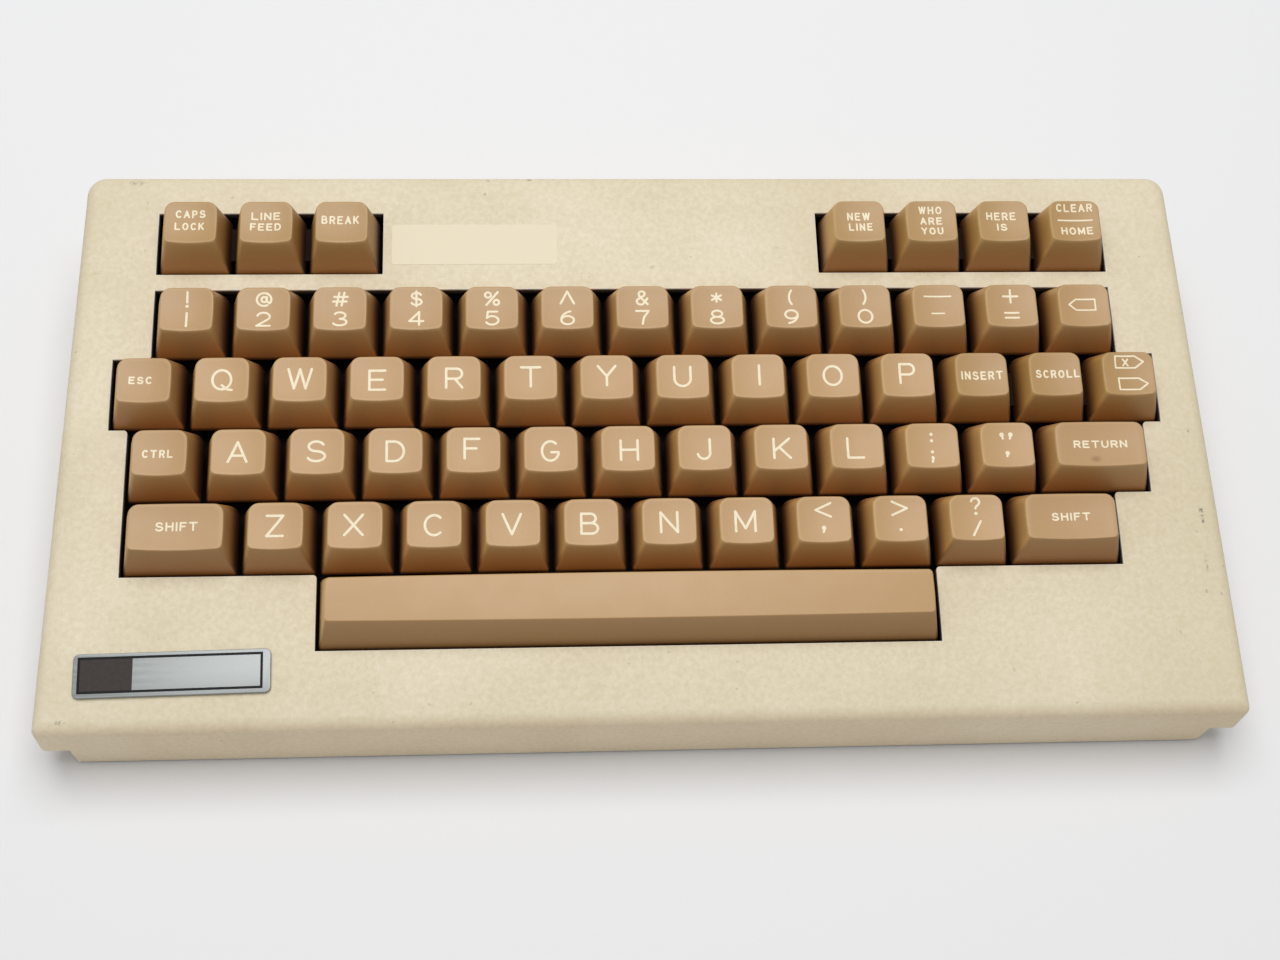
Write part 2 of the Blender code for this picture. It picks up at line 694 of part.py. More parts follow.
def lug_spans(ceiling):
    """The two guide lugs under the space bar, and the slots in them for the wire's hooks."""
    depth = WIRE_PIVOT_DEPTH - WIRE_ARM * math.sin(WIRE_TILT)
    slot = WIRE_RADIUS + LUG_PLAY
    outer = WIRE_HALF_SPAN - WIRE_RADIUS - SEAM_GAP
    lugs, slots = [], []
    for side in (-1, 1):
        near, far = sorted((side * outer, side * (outer - LUG_WIDTH)))
        lugs.append(((near, -LUG_DEPTH / 2, -depth - slot - LUG_WALL),
                     (far, LUG_DEPTH / 2, ceiling + BITE)))
        slots.append(((near - OVERRUN, -slot, -depth - slot), (far + OVERRUN, slot, -depth + slot)))
    return lugs, slots


def bar_mesh(width_share):
    cap, ceiling = cap_shape("bar", width_share * KEY_PITCH - KEY_GAP, KEY_PITCH - KEY_GAP,
                             BAR_HEIGHT, BAR_LEANS, BAR_RADII, bar=True)
    lugs, slots = lug_spans(ceiling)
    boolean(cap, make_cutter("bar_lugs", boxes("bar_lugs", lugs)), "UNION")
    boolean(cap, make_cutter("bar_slots", boxes("bar_slots", slots)), "DIFFERENCE")
    return finished(cap, "space_bar")


def bank_mesh(name, cap, count):
    """Several caps side by side, linked at the foot of their skirts."""
    bank = place(name, cap.copy(), CUTTERS)
    first = (1 - count) / 2 * KEY_PITCH
    bank.data.transform(Matrix.Translation((first, 0, 0)))
    for i in range(1, count):
        x = first + i * KEY_PITCH
        boolean(bank, make_cutter(f"{name}_{i}", cap, location=(x, 0, 0)), "UNION")
        edge = x - KEY_PITCH / 2
        half_link = KEY_GAP / 2 + CAP_WALL / 2
        link = ((edge - half_link, -LINK_WIDTH / 2, -CAP_SKIRT_DROP),
                (edge + half_link, LINK_WIDTH / 2, LINK_THICKNESS - CAP_SKIRT_DROP))
        boolean(bank, make_cutter(f"{name}_link_{i}", boxes(name, [link])), "UNION")
    return finished(bank, name)


def node_middles():
    """Each node of the key field, with the middle of its cells, its width in pitches and its row."""
    found = {}
    for name, x, y, width, row in key_cells():
        found.setdefault(name, []).append((x, y, width, row))
    for name, cells in found.items():
        x = sum(cell[0] for cell in cells) / len(cells)
        yield name, x, cells[0][1], cells[0][2], len(cells), cells[0][3]


def keys():
    caps = {}
    for name, x, y, width, count, row in node_middles():
        function_row = row == FUNCTION_ROW_SHARE
        shape = (name if name == "space_bar" else "cap", width, function_row)
        if shape not in caps:
            caps[shape] = bar_mesh(width) if name == "space_bar" else cap_mesh(width, function_row)
        mesh = caps[shape] if count == 1 else bank_mesh(name, caps[shape], count)
        if not mesh.materials:
            mesh.materials.append(KEY_FINISH)
        place(name, mesh, PARTS, parent=KEY_PLANE, location=(x, y, 0))


# Switches, plate and board

def housing_ring(x, y, width, depth):
    half = width / 2
    return [Vector((x + dx, y + dy, -depth)) for dx, dy in rectangle(half, -half, half)]


def board_outline():
    cells = [(x, y) for _, x, y, _, _ in key_cells()]
    half = max(abs(x) for x, _ in cells) + HOUSING_WIDTH / 2 + BOARD_MARGIN_ACROSS
    front = min(y for _, y in cells) - HOUSING_WIDTH / 2 - BOARD_MARGIN_ALONG
    back = max(y for _, y in cells) + HOUSING_WIDTH / 2 + BOARD_MARGIN_ALONG
    return rounded(rectangle(half, front, back), (BOARD_CORNER_RADIUS,) * 4, SMALL_CORNER_STEPS)


def post_holes(name):
    """Clearance holes for the screw posts, upright through everything between floor and top."""
    floor = FOOT_HEIGHT + CASE_WALL
    return make_cutter(name, cylinders(name, post_places(), POST_DIAMETER + 2 * POST_PLAY,
                                       floor, below_top(0)(BACK_Y)))


def switch_board():
    """The circuit board with a switch housing soldered under each key."""
    slab = prism("board", board_outline(), -BOARD_DEPTH - BOARD_THICKNESS, -BOARD_DEPTH)
    board = place("switch_board", slab, PARTS, material("board_green", BOARD_GREEN), KEY_PLANE)
    bm = bmesh.new()
    for _, x, y, _, _ in key_cells():
        housing = loft("housing", [
            housing_ring(x, y, HOUSING_WIDTH, BOARD_DEPTH + BITE),
            housing_ring(x, y, HOUSING_TOP_WIDTH, HOUSING_TOP_DEPTH),
            housing_ring(x, y, BORE_WIDTH, HOUSING_TOP_DEPTH),
            housing_ring(x, y, BORE_WIDTH, BORE_FOOT),
        ])
        bm.from_mesh(housing)
        bpy.data.meshes.remove(housing)
    housings = make_cutter("housings", finish_mesh(bm, "housings"), KEY_PLANE)
    boolean(board, housings, "UNION")
    boolean(board, post_holes("board_post_holes"), "DIFFERENCE")
    return board


def clip_spans(bar_x, pivot_y):
    """The clips on the plate that hold the stabiliser, and the grooves in them."""
    groove = WIRE_RADIUS + SEAM_GAP
    floor = CLIP_FLOOR - PLATE_DEPTH
    clips, grooves = [], []
    for side in (-1, 1):
        x = bar_x + side * CLIP_SPREAD / 2
        top = WIRE_RADIUS - WIRE_PIVOT_DEPTH
        clips.append(((x - CLIP_WIDTH / 2, pivot_y - CLIP_DEPTH / 2, -PLATE_DEPTH - BITE),
                      (x + CLIP_WIDTH / 2, pivot_y + CLIP_DEPTH / 2, top)))
        past = CLIP_WIDTH / 2 + OVERRUN
        grooves.append(((x - past, pivot_y - groove, floor),
                        (x + past, pivot_y + groove, top + OVERRUN)))
    return clips, grooves


def bar_middle():
    return next((x, y) for name, x, y, _, _ in key_cells() if name == "space_bar")


def pivot_place():
    """The stabiliser's hinge line, in the key plane: its middle, its y and its depth."""
    x, y = bar_middle()
    return x, y - WIRE_ARM * math.cos(WIRE_TILT), WIRE_PIVOT_DEPTH


def plate_outline():
    """The plate follows the inside of the shell's walls, in the key plane."""
    margin = CASE_WALL + shell_lean(PLATE_DEPTH) + PLATE_PLAY
    corners = []
    for y, side in ((FRONT_Y + margin, -1), (BACK_Y - margin, 1)):
        x = half_width(y) - margin
        along = (y - HOME_ROW_Y - PLATE_DEPTH * SLOPE_SIN) / SLOPE_COS
        corners += [(side * x, along), (-side * x, along)]
    return corners


def mounting_plate():
    slab = prism("plate", plate_outline(), -PLATE_DEPTH - PLATE_THICKNESS, -PLATE_DEPTH)
    plate = place("mounting_plate", slab, PARTS, material("plate_steel", PLATE_STEEL), KEY_PLANE)
    low, high = -PLATE_DEPTH - PLATE_THICKNESS - OVERRUN, OVERRUN - PLATE_DEPTH
    half = PLATE_HOLE_WIDTH / 2
    holes = [((x - half, y - half, low), (x + half, y + half, high)) for _, x, y, _, _ in key_cells()]
    bar_x, bar_y = bar_middle()
    _, pivot_y, _ = pivot_place()
    reach = WIRE_HALF_SPAN + WIRE_RADIUS + LUG_PLAY
    inner = WIRE_HALF_SPAN - WIRE_RADIUS - LUG_WIDTH - 2 * LUG_PLAY
    for side in (-1, 1):
        near, far = sorted((bar_x + side * reach, bar_x + side * inner))
        holes.append(((near, pivot_y + CLIP_DEPTH / 2 + WIRE_RADIUS, low),
                      (far, bar_y + LUG_DEPTH / 2 + LUG_PLAY, high)))
    boolean(plate, make_cutter("plate_holes", boxes("plate_holes", holes), KEY_PLANE), "DIFFERENCE")
    boolean(plate, post_holes("plate_post_holes"), "DIFFERENCE")
    clips, grooves = clip_spans(bar_x, pivot_y)
    boolean(plate, make_cutter("clips", boxes("clips", clips), KEY_PLANE), "UNION")
    boolean(plate, make_cutter("clip_grooves", boxes("clip_grooves", grooves), KEY_PLANE),
            "DIFFERENCE")
    return plate


# Stabiliser

def bent(points, radius, steps):
    """The path with an arc in place of each inner corner."""
    path = [Vector(points[0])]
    for before, corner, after in zip(points, points[1:], points[2:]):
        corner = Vector(corner)
        back, on = (Vector(before) - corner).normalized(), (Vector(after) - corner).normalized()
        half = back.angle(on) / 2
        centre = corner + (back + on).normalized() * radius / math.sin(half)
        start = corner + back * radius / math.tan(half) - centre
        end = corner + on * radius / math.tan(half) - centre
        axis, turn = start.cross(end), start.angle(end)
        for step in range(steps + 1):
            path.append(centre + Matrix.Rotation(turn * step / steps, 3, axis) @ start)
    return path + [Vector(points[-1])]


def stabiliser():
    """The wire under the space bar. Its origin is on its hinge line, and it lies raised by its tilt."""
    x, y, depth = pivot_place()
    rise, run = WIRE_ARM * math.sin(WIRE_TILT), WIRE_ARM * math.cos(WIRE_TILT)
    half, hook = WIRE_HALF_SPAN, WIRE_HALF_SPAN - WIRE_HOOK
    corners = [(-hook, run, rise), (-half, run, rise), (-half, 0, 0),
               (half, 0, 0), (half, run, rise), (hook, run, rise)]
    path = bent(corners, WIRE_BEND_RADIUS, BEND_STEPS)
    curve = bpy.data.curves.new("space_bar_stabiliser", "CURVE")
    curve.dimensions = "3D"
    curve.bevel_depth = WIRE_RADIUS
    curve.bevel_resolution = 1
    curve.use_fill_caps = True
    spline = curve.splines.new("POLY")
    spline.points.add(len(path) - 1)
    for point, place_on_path in zip(spline.points, path):
        point.co = (*place_on_path, 1)
    return place("space_bar_stabiliser", curve, PARTS, material("wire_steel", WIRE_STEEL),
                 KEY_PLANE, (x, y, -depth))


# Name plate

def nameplate():
    outline = rounded(rectangle(NAMEPLATE_LENGTH / 2, -NAMEPLATE_WIDTH / 2, NAMEPLATE_WIDTH / 2),
                      (NAMEPLATE_CORNER_RADIUS,) * 4, SMALL_CORNER_STEPS)
    mesh = shade(prism("nameplate", outline, NAMEPLATE_GLUE, NAMEPLATE_GLUE + NAMEPLATE_THICKNESS))
    x = NAMEPLATE_FROM_SIDE + NAMEPLATE_LENGTH / 2 - CASE_FRONT_WIDTH / 2
    y = NAMEPLATE_FROM_FRONT + NAMEPLATE_WIDTH / 2 - HOME_ROW_FROM_FRONT
    plate = place("nameplate", mesh, PARTS, material("nameplate_aluminium", NAMEPLATE_ALUMINIUM),
                  KEY_PLANE, (x, y, 0))
    plate.rotation_euler = (0, 0, NAMEPLATE_TURN)
    return plate


clear_scene()
PARTS = new_collection("teleprinter_keyboard")
CUTTERS = new_collection("cutters")
KEY_FINISH = material("key_brown", KEY_BROWN)

# The key plane is the case's sloping top, with its origin at the middle of the home row
KEY_PLANE = bpy.data.objects.new("key_plane", None)
PARTS.objects.link(KEY_PLANE)
KEY_PLANE.location = (0, HOME_ROW_Y, HOME_ROW_Z)
KEY_PLANE.rotation_euler = (CASE_SLOPE, 0, 0)

upper_case()
lower_case()
cord_socket()
switch_board()
mounting_plate()
stabiliser()
keys()
nameplate()
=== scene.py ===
"""The looks of a teleprinter's keyboard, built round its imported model.

Metres, +Z up, +X to the typist's right, +Y to the back. The case's sloping top is the key plane: its
x runs to the right, its y up the slope and its z out of the top, from the middle of the footprint.
"""

import math
from collections import namedtuple

import bmesh
import bpy
from mathutils import Matrix, Quaternion, Vector


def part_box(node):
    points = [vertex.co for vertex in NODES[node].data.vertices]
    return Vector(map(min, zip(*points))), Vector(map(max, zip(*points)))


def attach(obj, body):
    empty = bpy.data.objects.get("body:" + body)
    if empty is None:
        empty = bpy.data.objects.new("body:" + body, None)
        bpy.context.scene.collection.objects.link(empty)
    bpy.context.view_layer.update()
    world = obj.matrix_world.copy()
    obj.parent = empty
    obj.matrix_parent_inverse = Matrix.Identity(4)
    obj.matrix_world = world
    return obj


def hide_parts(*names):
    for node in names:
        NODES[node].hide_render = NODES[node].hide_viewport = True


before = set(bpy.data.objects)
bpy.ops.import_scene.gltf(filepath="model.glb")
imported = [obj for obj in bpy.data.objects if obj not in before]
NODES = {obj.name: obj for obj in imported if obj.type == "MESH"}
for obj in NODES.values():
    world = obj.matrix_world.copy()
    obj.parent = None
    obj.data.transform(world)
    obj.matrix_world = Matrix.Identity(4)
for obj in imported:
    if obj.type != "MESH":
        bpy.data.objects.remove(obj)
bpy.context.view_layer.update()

# Camera
CAMERA_PLACE = (-0.03206, -0.2131, 0.45134)
CAMERA_AIM = (-0.0015, -0.0124, 0.03046)
CAMERA_ROLL = math.radians(7.2)
CAMERA_LENS = 52.42
SENSOR_WIDTH = 36.0

# Stage
FLOOR_SIZE = 6.0
FLOOR_COLOUR = (0.84, 0.842, 0.852)
FLOOR_ROUGHNESS = 0.85
SKY_COLOUR = (1.0, 1.0, 1.0)
SKY_STRENGTH = 0.37
SKY_SEEN = 0.85
LAMP_PLACE = (-0.04, 0.24, 1.2)
LAMP_WIDTH = 0.95
LAMP_WATTS = 11.5

# Key plane
SLOPE = math.radians(6.5)

# Meshes: points this close are one point, on new rims too, faces that turn less than FLAT_ANGLE
# are one face, and edges that turn more than the other angles stay sharp or are rounded
WELD = 0.00001
FINE_WELD = 0.000001
FLAT_ANGLE = math.radians(0.2)
SHARP_ANGLE = math.radians(38)
RIM_ANGLE = math.radians(50)

# Case: how round the rims of the openings, the feet up to their level and the cord socket are
OPENING_RIM = 0.00025
FOOT_ROUND = 0.0004
FOOT_LEVEL = 0.0005
SOCKET_ROUND = 0.0002
ROUND_STEPS = 3
# The strip along the back where the case is narrow, and the circuit board inside
NARROW_STRIP = 0.006
BOARD_THICKNESS = 0.0016

# Key caps: how far the sides, the front and the back lean in, how round the front and back plan
# corners and the top edge are, and how far the top's sides bow out
CAP_SKIRT_DROP = 0.0018
CAP_LEANS = (0.0026, 0.0039, 0.003)
FUNCTION_CAP_LEANS = (CAP_LEANS[0], 0.0044, 0.0013)
BAR_LEANS = (0.0022, 0.0047, 0.0026)
SKIRT_RADII = (0.0009, 0.0034)
TOP_RADII = (0.0013, 0.0023)
BAR_SKIRT_RADII = (SKIRT_RADII[0], 0.0014)
BAR_TOP_RADII = (0.001, 0.001)
INNER_RADII = (SKIRT_RADII[0] / 2, SKIRT_RADII[0])
BULGE_ACROSS = 0.00015
BULGE_ALONG = 0.00035
EDGE_RADIUS = 0.0003
DISH_ACROSS = 0.0006
DISH_ALONG = 0.0005
CAP_WALL = 0.0014
STEM_WIDTH = 0.0038
STEM_LENGTH = 0.0091
STEM_BITE = 0.0005
LINK_WIDTH = 0.009
LINK_THICKNESS = 0.0009
# The guide lugs under the space bar, and the slots in them
LUG_OUTER = 0.0509
LUG_WIDTH = 0.0038
LUG_DEPTH = 0.0066
LUG_FOOT = 0.0073
LUG_SLOT_FOOT = 0.0064
LUG_SLOT_HEAD = 0.0038
LUG_SLOT_HALF = 0.0013
LUG_BITE = 0.0003
# Steps of a cap's outline, of its flanks and of its dish
CORNER_STEPS = 6
SIDE_STEPS = 5
BAR_SIDE_STEPS = 24
FLANK_SHARES = (0.0, 0.33, 0.66, 0.93)
EDGE_SHARES = ((0.12, 0.4), (0.45, 0.12), (1.0, 0.0))
DISH_SHARES = (0.9, 0.76, 0.6, 0.43, 0.26, 0.1)

# Legends, which stand a little proud of the cap, each further stroke by a step more
LEGEND_PROUD = 0.00003
LEGEND_SUNK = 0.00008
LEGEND_STEP = 0.000003
LETTER_STROKE = 0.00064
SIGN_STROKE = 0.00056
WORD_STROKE = 0.00043
WORD_GAP = 0.00092
LETTER_HEIGHT = 0.0051
LETTER_RISE = 0.0006
DIGIT_HEIGHT = 0.0037
DIGIT_RISE = -0.0022
SIGN_HEIGHT = 0.0034
SIGN_RISE = 0.0032
# Degrees of an arc's step, the turn that ends a run, and the steps and reach of a round end
ARC_STEP = 15
CORNER_TURN = math.radians(50)
END_STEPS = 4
END_SHARE = 0.98
STRETCH = 0.0006
DOT_SHARE = 1.5

# Glyphs in shares of their height: a width, then strokes of points and of arcs (centre, radii, from
# and to in degrees). A stroke of one point is a dot.
GLYPH_SHARES = {
    "A": (0.88, ((0, 0), (0.44, 1), (0.88, 0)), ((0.14, 0.32), (0.74, 0.32))),
    "B": (0.8, ((0.44, 0.53), (0, 0.53), (0, 1), (0.44, 1), (0.44, 0.765, 0.25, 0.235, 90, -90)),
               ((0, 0.53), (0, 0), (0.5, 0), (0.5, 0.265, 0.29, 0.265, -90, 90))),
    "C": (0.82, ((0.44, 0.5, 0.44, 0.5, 48, 312),)),
    "D": (0.82, ((0, 0), (0, 1), (0.36, 1), (0.36, 0.5, 0.46, 0.5, 90, -90), (0, 0))),
    "E": (0.76, ((0.76, 1), (0, 1), (0, 0), (0.76, 0)), ((0, 0.53), (0.64, 0.53))),
    "F": (0.7, ((0.7, 1), (0, 1), (0, 0)), ((0, 0.52), (0.56, 0.52))),
    "G": (0.8, ((0.41, 0.5, 0.41, 0.5, 50, 345), (0.8, 0.44), (0.46, 0.44))),
    "H": (0.82, ((0, 0), (0, 1)), ((0.82, 0), (0.82, 1)), ((0, 0.53), (0.82, 0.53))),
    "I": (0.0, ((0, 0), (0, 1))),
    "J": (0.6, ((0.6, 1), (0.6, 0.3), (0.3, 0.3, 0.3, 0.3, 0, -170))),
    "K": (0.8, ((0, 0), (0, 1)), ((0.76, 1), (0, 0.36)), ((0.26, 0.58), (0.8, 0))),
    "L": (0.76, ((0, 1), (0, 0), (0.76, 0))),
    "M": (0.94, ((0, 0), (0, 1), (0.47, 0.16), (0.94, 1), (0.94, 0))),
    "N": (0.8, ((0, 0), (0, 1), (0.8, 0), (0.8, 1))),
    "O": (0.9, ((0.45, 0.5, 0.45, 0.5, 0, 360),)),
    "P": (0.72, ((0, 0), (0, 1), (0.45, 1), (0.45, 0.73, 0.27, 0.27, 90, -90), (0, 0.46))),
    "Q": (0.94, ((0.45, 0.5, 0.45, 0.5, 0, 360),), ((0.46, 0.22), (0.7, 0.0), (0.94, -0.04))),
    "R": (0.78, ((0, 0), (0, 1), (0.5, 1), (0.5, 0.74, 0.27, 0.26, 90, -90), (0, 0.48)),
                ((0.42, 0.48), (0.78, 0))),
    "S": (0.84, ((0.42, 0.755, 0.36, 0.245, 22, 270), (0.42, 0.255, 0.42, 0.255, 90, -158))),
    "T": (0.92, ((0, 1), (0.92, 1)), ((0.46, 1), (0.46, 0))),
    "U": (0.8, ((0, 1), (0, 0.4), (0.4, 0.4, 0.4, 0.4, 180, 360), (0.8, 1))),
    "V": (0.86, ((0, 1), (0.43, 0), (0.86, 1))),
    "W": (1.12, ((0, 1), (0.28, 0), (0.56, 1), (0.84, 0), (1.12, 1))),
    "X": (0.86, ((0, 1), (0.86, 0)), ((0.86, 1), (0, 0))),
    "Y": (0.86, ((0, 1), (0.43, 0.48), (0.86, 1)), ((0.43, 0.48), (0.43, 0))),
    "Z": (0.76, ((0, 1), (0.76, 1), (0, 0), (0.76, 0))),
    "0": (0.96, ((0.48, 0.5, 0.48, 0.5, 0, 360),)),
    "1": (0.0, ((0, 0), (0, 1))),
    "2": (0.9, ((0.45, 0.7, 0.42, 0.3, 165, -38), (0.0, 0.0), (0.9, 0.0))),
    "3": (0.92, ((0.44, 0.755, 0.38, 0.245, 152, -90),), ((0.44, 0.255, 0.46, 0.255, 90, -158),)),
    "4": (0.94, ((0.66, 0), (0.66, 1), (0, 0.3), (0.94, 0.3))),
    "5": (0.86, ((0.78, 1), (0.14, 1), (0.08, 0.52), (0.42, 0.33, 0.44, 0.33, 125, -152))),
    "6": (0.86, ((0.43, 0.32, 0.43, 0.32, 0, 360),), ((0.76, 0.36, 0.76, 0.64, 100, 180),)),
    "7": (0.86, ((0, 1), (0.86, 1), (0.52, 0.5), (0.42, 0))),
    "8": (0.9, ((0.45, 0.76, 0.35, 0.24, 0, 360),), ((0.45, 0.26, 0.45, 0.26, 0, 360),)),
    "9": (0.86, ((0.43, 0.68, 0.43, 0.32, 0, 360),), ((0.1, 0.64, 0.76, 0.64, 0, -80),)),
    "!": (0.0, ((0, 1.1), (0, 0.3)), ((0, 0.0),)),
    "@": (1.06, ((0.53, 0.5, 0.19, 0.2, 0, 360),), ((0.53, 0.5, 0.53, 0.5, -35, 300),),
                ((0.73, 0.7), (0.73, 0.42), (0.8, 0.3), (0.96, 0.22))),
    "#": (1.06, ((0.24, 0), (0.44, 1)), ((0.62, 0), (0.82, 1)), ((0, 0.32), (0.98, 0.32)),
                ((0.08, 0.68), (1.06, 0.68))),
    "$": (0.76, ((0.38, 0.74, 0.34, 0.23, 20, 270), (0.38, 0.27, 0.38, 0.24, 90, -158)),
                ((0.38, 1.1), (0.38, -0.08))),
    "%": (1.04, ((0.94, 1), (0.1, 0)), ((0.22, 0.78, 0.22, 0.2, 0, 360),),
                ((0.84, 0.2, 0.2, 0.2, 0, 360),)),
    "^": (1.0, ((0, 0.08), (0.5, 1.04), (1, 0.08))),
    "&": (0.84, ((0.84, 0), (0.2, 0.66), (0.4, 0.82, 0.22, 0.2, 215, -40), (0.14, 0.42),
                 (0.32, 0.23, 0.3, 0.25, 135, 305), (0.82, 0.46))),
    "*": (0.8, ((0.4, 0.18), (0.4, 0.82)), ((0.06, 0.32), (0.74, 0.68)),
               ((0.06, 0.68), (0.74, 0.32))),
    "(": (0.22, ((0.62, 0.5, 0.62, 0.76, 134, 226),)),
    ")": (0.22, ((-0.4, 0.5, 0.62, 0.76, 46, -46),)),
    "_": (1.8, ((0, 0), (1.8, 0))),
    "-": (0.96, ((0, 0), (0.96, 0))),
    "+": (1.1, ((0, 0.5), (1.1, 0.5)), ((0.55, 1.0), (0.55, 0.0))),
    "=": (0.94, ((0, 0.72), (0.94, 0.72)), ((0, 0.34), (0.94, 0.34))),
    ":": (0.0, ((0, 0.6),), ((0, 0.11),)),
    ";": (0.1, ((0.05, 0.8),), ((0.05, 0.38),), ((0.08, 0.34), (0, 0.06))),
    '"': (0.66, ((0, 0.52, 0.09, 0.09, 0, 360),), ((0.02, 0.5), (0.07, 0.22)),
               ((0.66, 0.52, 0.09, 0.09, 0, 360),), ((0.66, 0.5), (0.6, 0.22))),
    "'": (0.0, ((0, 0.66, 0.08, 0.08, 0, 360),), ((0, 0.62), (-0.05, 0.42))),
    "<": (1.1, ((1.1, 0.94), (0, 0.44), (1.1, -0.06))),
    ">": (1.1, ((0, 1), (1.1, 0.5), (0, 0))),
    ",": (0.1, ((0.05, 0.66, 0.08, 0.08, 0, 360),), ((0.08, 0.62), (0, 0.36))),
    ".": (0.0, ((0, 0.47),)),
    "?": (0.6, ((0.3, 0.9, 0.3, 0.28, 170, -62), (0.3, 0.48), (0.3, 0.42)), ((0.3, 0.05),)),
    "/": (0.56, ((0, 0), (0.56, 1))),
    # Line signs: a tag that points left, one that points right, and a rule
    "{": (2.3, ((2.3, 1), (0.62, 1), (0, 0.5), (0.62, 0), (2.3, 0), (2.3, 1))),
    "}": (2.2, ((0, 1), (1.55, 1), (2.2, 0.5), (1.55, 0), (0, 0), (0, 1))),
    "|": (1.0, ((0, 0), (1.0, 0))),
}

# The tables of letters, words and scuffs are in tenths of a millimetre
TENTH = 0.0001
# How far each letter stands from its usual place
LETTER_SHIFTS = {
    "W": (0, 1), "E": (0, -4), "T": (0, 2), "Y": (0, 4), "I": (4, 3), "P": (0, 4), "A": (-3, 0),
    "S": (-3, 0), "D": (-1, -2), "F": (-4, 3), "G": (-2, -5), "H": (3, -5), "J": (-2, -4),
    "K": (3, -4), "L": (-3, -5), "Z": (-2, 0), "X": (-4, 0), "C": (-2, -3), "V": (-3, -3),
    "B": (-4, -4), "N": (0, -3), "M": (-3, -3),
}

# Keys with a sign above a digit or a sign
SIGN_KEYS = {
    "key_1": "!1", "key_2": "@2", "key_3": "#3", "key_4": "$4", "key_5": "%5", "key_6": "^6",
    "key_7": "&7", "key_8": "*8", "key_9": "(9", "key_0": ")0", "key_equals": "+=",
    "key_semicolon": ":;", "key_quote": "\"'", "key_comma": "<,", "key_period": ">.",
    "key_slash": "?/",
}

# Each node's words and line signs: cell, text, height, width, and the place of its middle
WORDS = {
    "key_minus": ((0, "_", 39, 73, 0, 52), (0, "-", 39, 36, -1, 5)),
    "key_backspace": ((0, "{", 30, 73, -4, 8),),
    "key_escape": ((0, "ESC", 16, 57, -9, 6),),
    "key_control": ((0, "CTRL", 17, 74, -5, 3),),
    "key_return": ((0, "RETURN", 16, 137, 0, 5),),
    "key_shift_left": ((0, "SHIFT", 19, 101, 2, 7),),
    "key_shift_right": ((0, "SHIFT", 17, 98, 0, 5),),
    "editing_keys": (
        (0, "INSERT", 19, 107, 1, 3),
        (1, "SCROLL", 18, 113, 6, 6),
        (2, "}", 31, 77, 5, 37), (2, "X", 17, 17, -5, 36), (2, "}", 32, 78, 10, -23)),
    "function_keys_left": (
        (0, "CAPS", 17, 75, -1, 40), (0, "LOCK", 17, 74, -3, 6),
        (1, "LINE", 17, 73, -2, 34), (1, "FEED", 17, 78, -2, 4),
        (2, "BREAK", 19, 95, -4, 23)),
    "function_keys_right": (
        (0, "NEW", 18, 60, 0, 31), (0, "LINE", 18, 62, 4, 1),
        (1, "WHO", 17, 61, -1, 48), (1, "ARE", 17, 58, 0, 18), (1, "YOU", 17, 58, 1, -11),
        (2, "HERE", 18, 78, -5, 31), (2, "IS", 17, 27, -4, 0),
        (3, "CLEAR", 18, 96, 1, 54), (3, "|", 20, 94, 1, 29), (3, "HOME", 18, 84, 3, -12)),
}

# Nodes of more than one key, the keys in the letters' tan, and those with the case before them,
# whose fronts get painted shade
BANK_COUNTS = {"function_keys_left": 3, "function_keys_right": 4, "editing_keys": 3}
LETTER_KEYS = ["key_" + letter for letter in "abcdefghijklmnopqrstuvwxyz"]
LETTER_KEYS += ["key_comma", "key_period", "key_quote", "key_semicolon", "key_slash"]
CORNER_KEYS = ("key_shift_left", "key_z", "key_slash", "key_shift_right")

# Name plate, from its middle: the printed frame, and the panel left of the divider
PLATE_FRAME_LEFT = -0.0222
PLATE_FRAME_RIGHT = 0.0214
PLATE_FRAME_FRONT = -0.00435
PLATE_FRAME_BACK = 0.00455
PLATE_LINE = 0.0006
PLATE_DIVIDER = -0.0093
PLATE_PRINT = 0.00004
PLATE_TURN = math.radians(1.0)
PLATE_EDGE = 0.0002

# Film label, from the middle of the case and from the home row
LABEL_LEFT = -0.0641
LABEL_RIGHT = -0.0212
LABEL_FRONT = 0.0547
LABEL_BACK = 0.0661
LABEL_THICKNESS = 0.00006
LABEL_SUNK = 0.000015
LABEL_CORNER = 0.0008

# Screws under the base
SCREW_FROM_SIDE = 0.0142
SCREW_FROM_FRONT = 0.0105
SCREW_FROM_BACK = 0.0145
SCREW_SEAT = 0.0045
SCREW_HEAD_RADIUS = 0.0028
SCREW_HEAD_HEIGHT = 0.0018
SCREW_SHANK_RADIUS = 0.00125
SCREW_SHANK_LENGTH = 0.0105
SCREW_SLOT_HALF = 0.0017
SCREW_SLOT_WIDTH = 0.0006
SCREW_SLOT_DEPTH = 0.0011
SCREW_STEPS = 32
SCREW_TURN = math.radians(25)
SCREW_TURN_STEP = math.radians(50)
# The head's profile, in shares of its radius and of its height
SCREW_HEAD_SHARES = ((1.0, 0.0), (1.0, 0.55), (0.86, 0.88), (0.6, 1.0))

# Colours as linear red, green and blue. A shade or a tint is what a colour is multiplied by.
CASE_BEIGE = (0.735, 0.65, 0.47)
CASE_PALE = (0.79, 0.715, 0.54)
CASE_YELLOWED = (0.695, 0.605, 0.415)
# Painted light: the front walls are made a little warmer and brighter than the rest
FRONT_PAINTED_WARM_LIGHT = (1.12, 1.05, 1.01)
FRONT_WALL_TURN = (-0.3, -0.9)
SCUFF_GREY = (0.16, 0.15, 0.12)
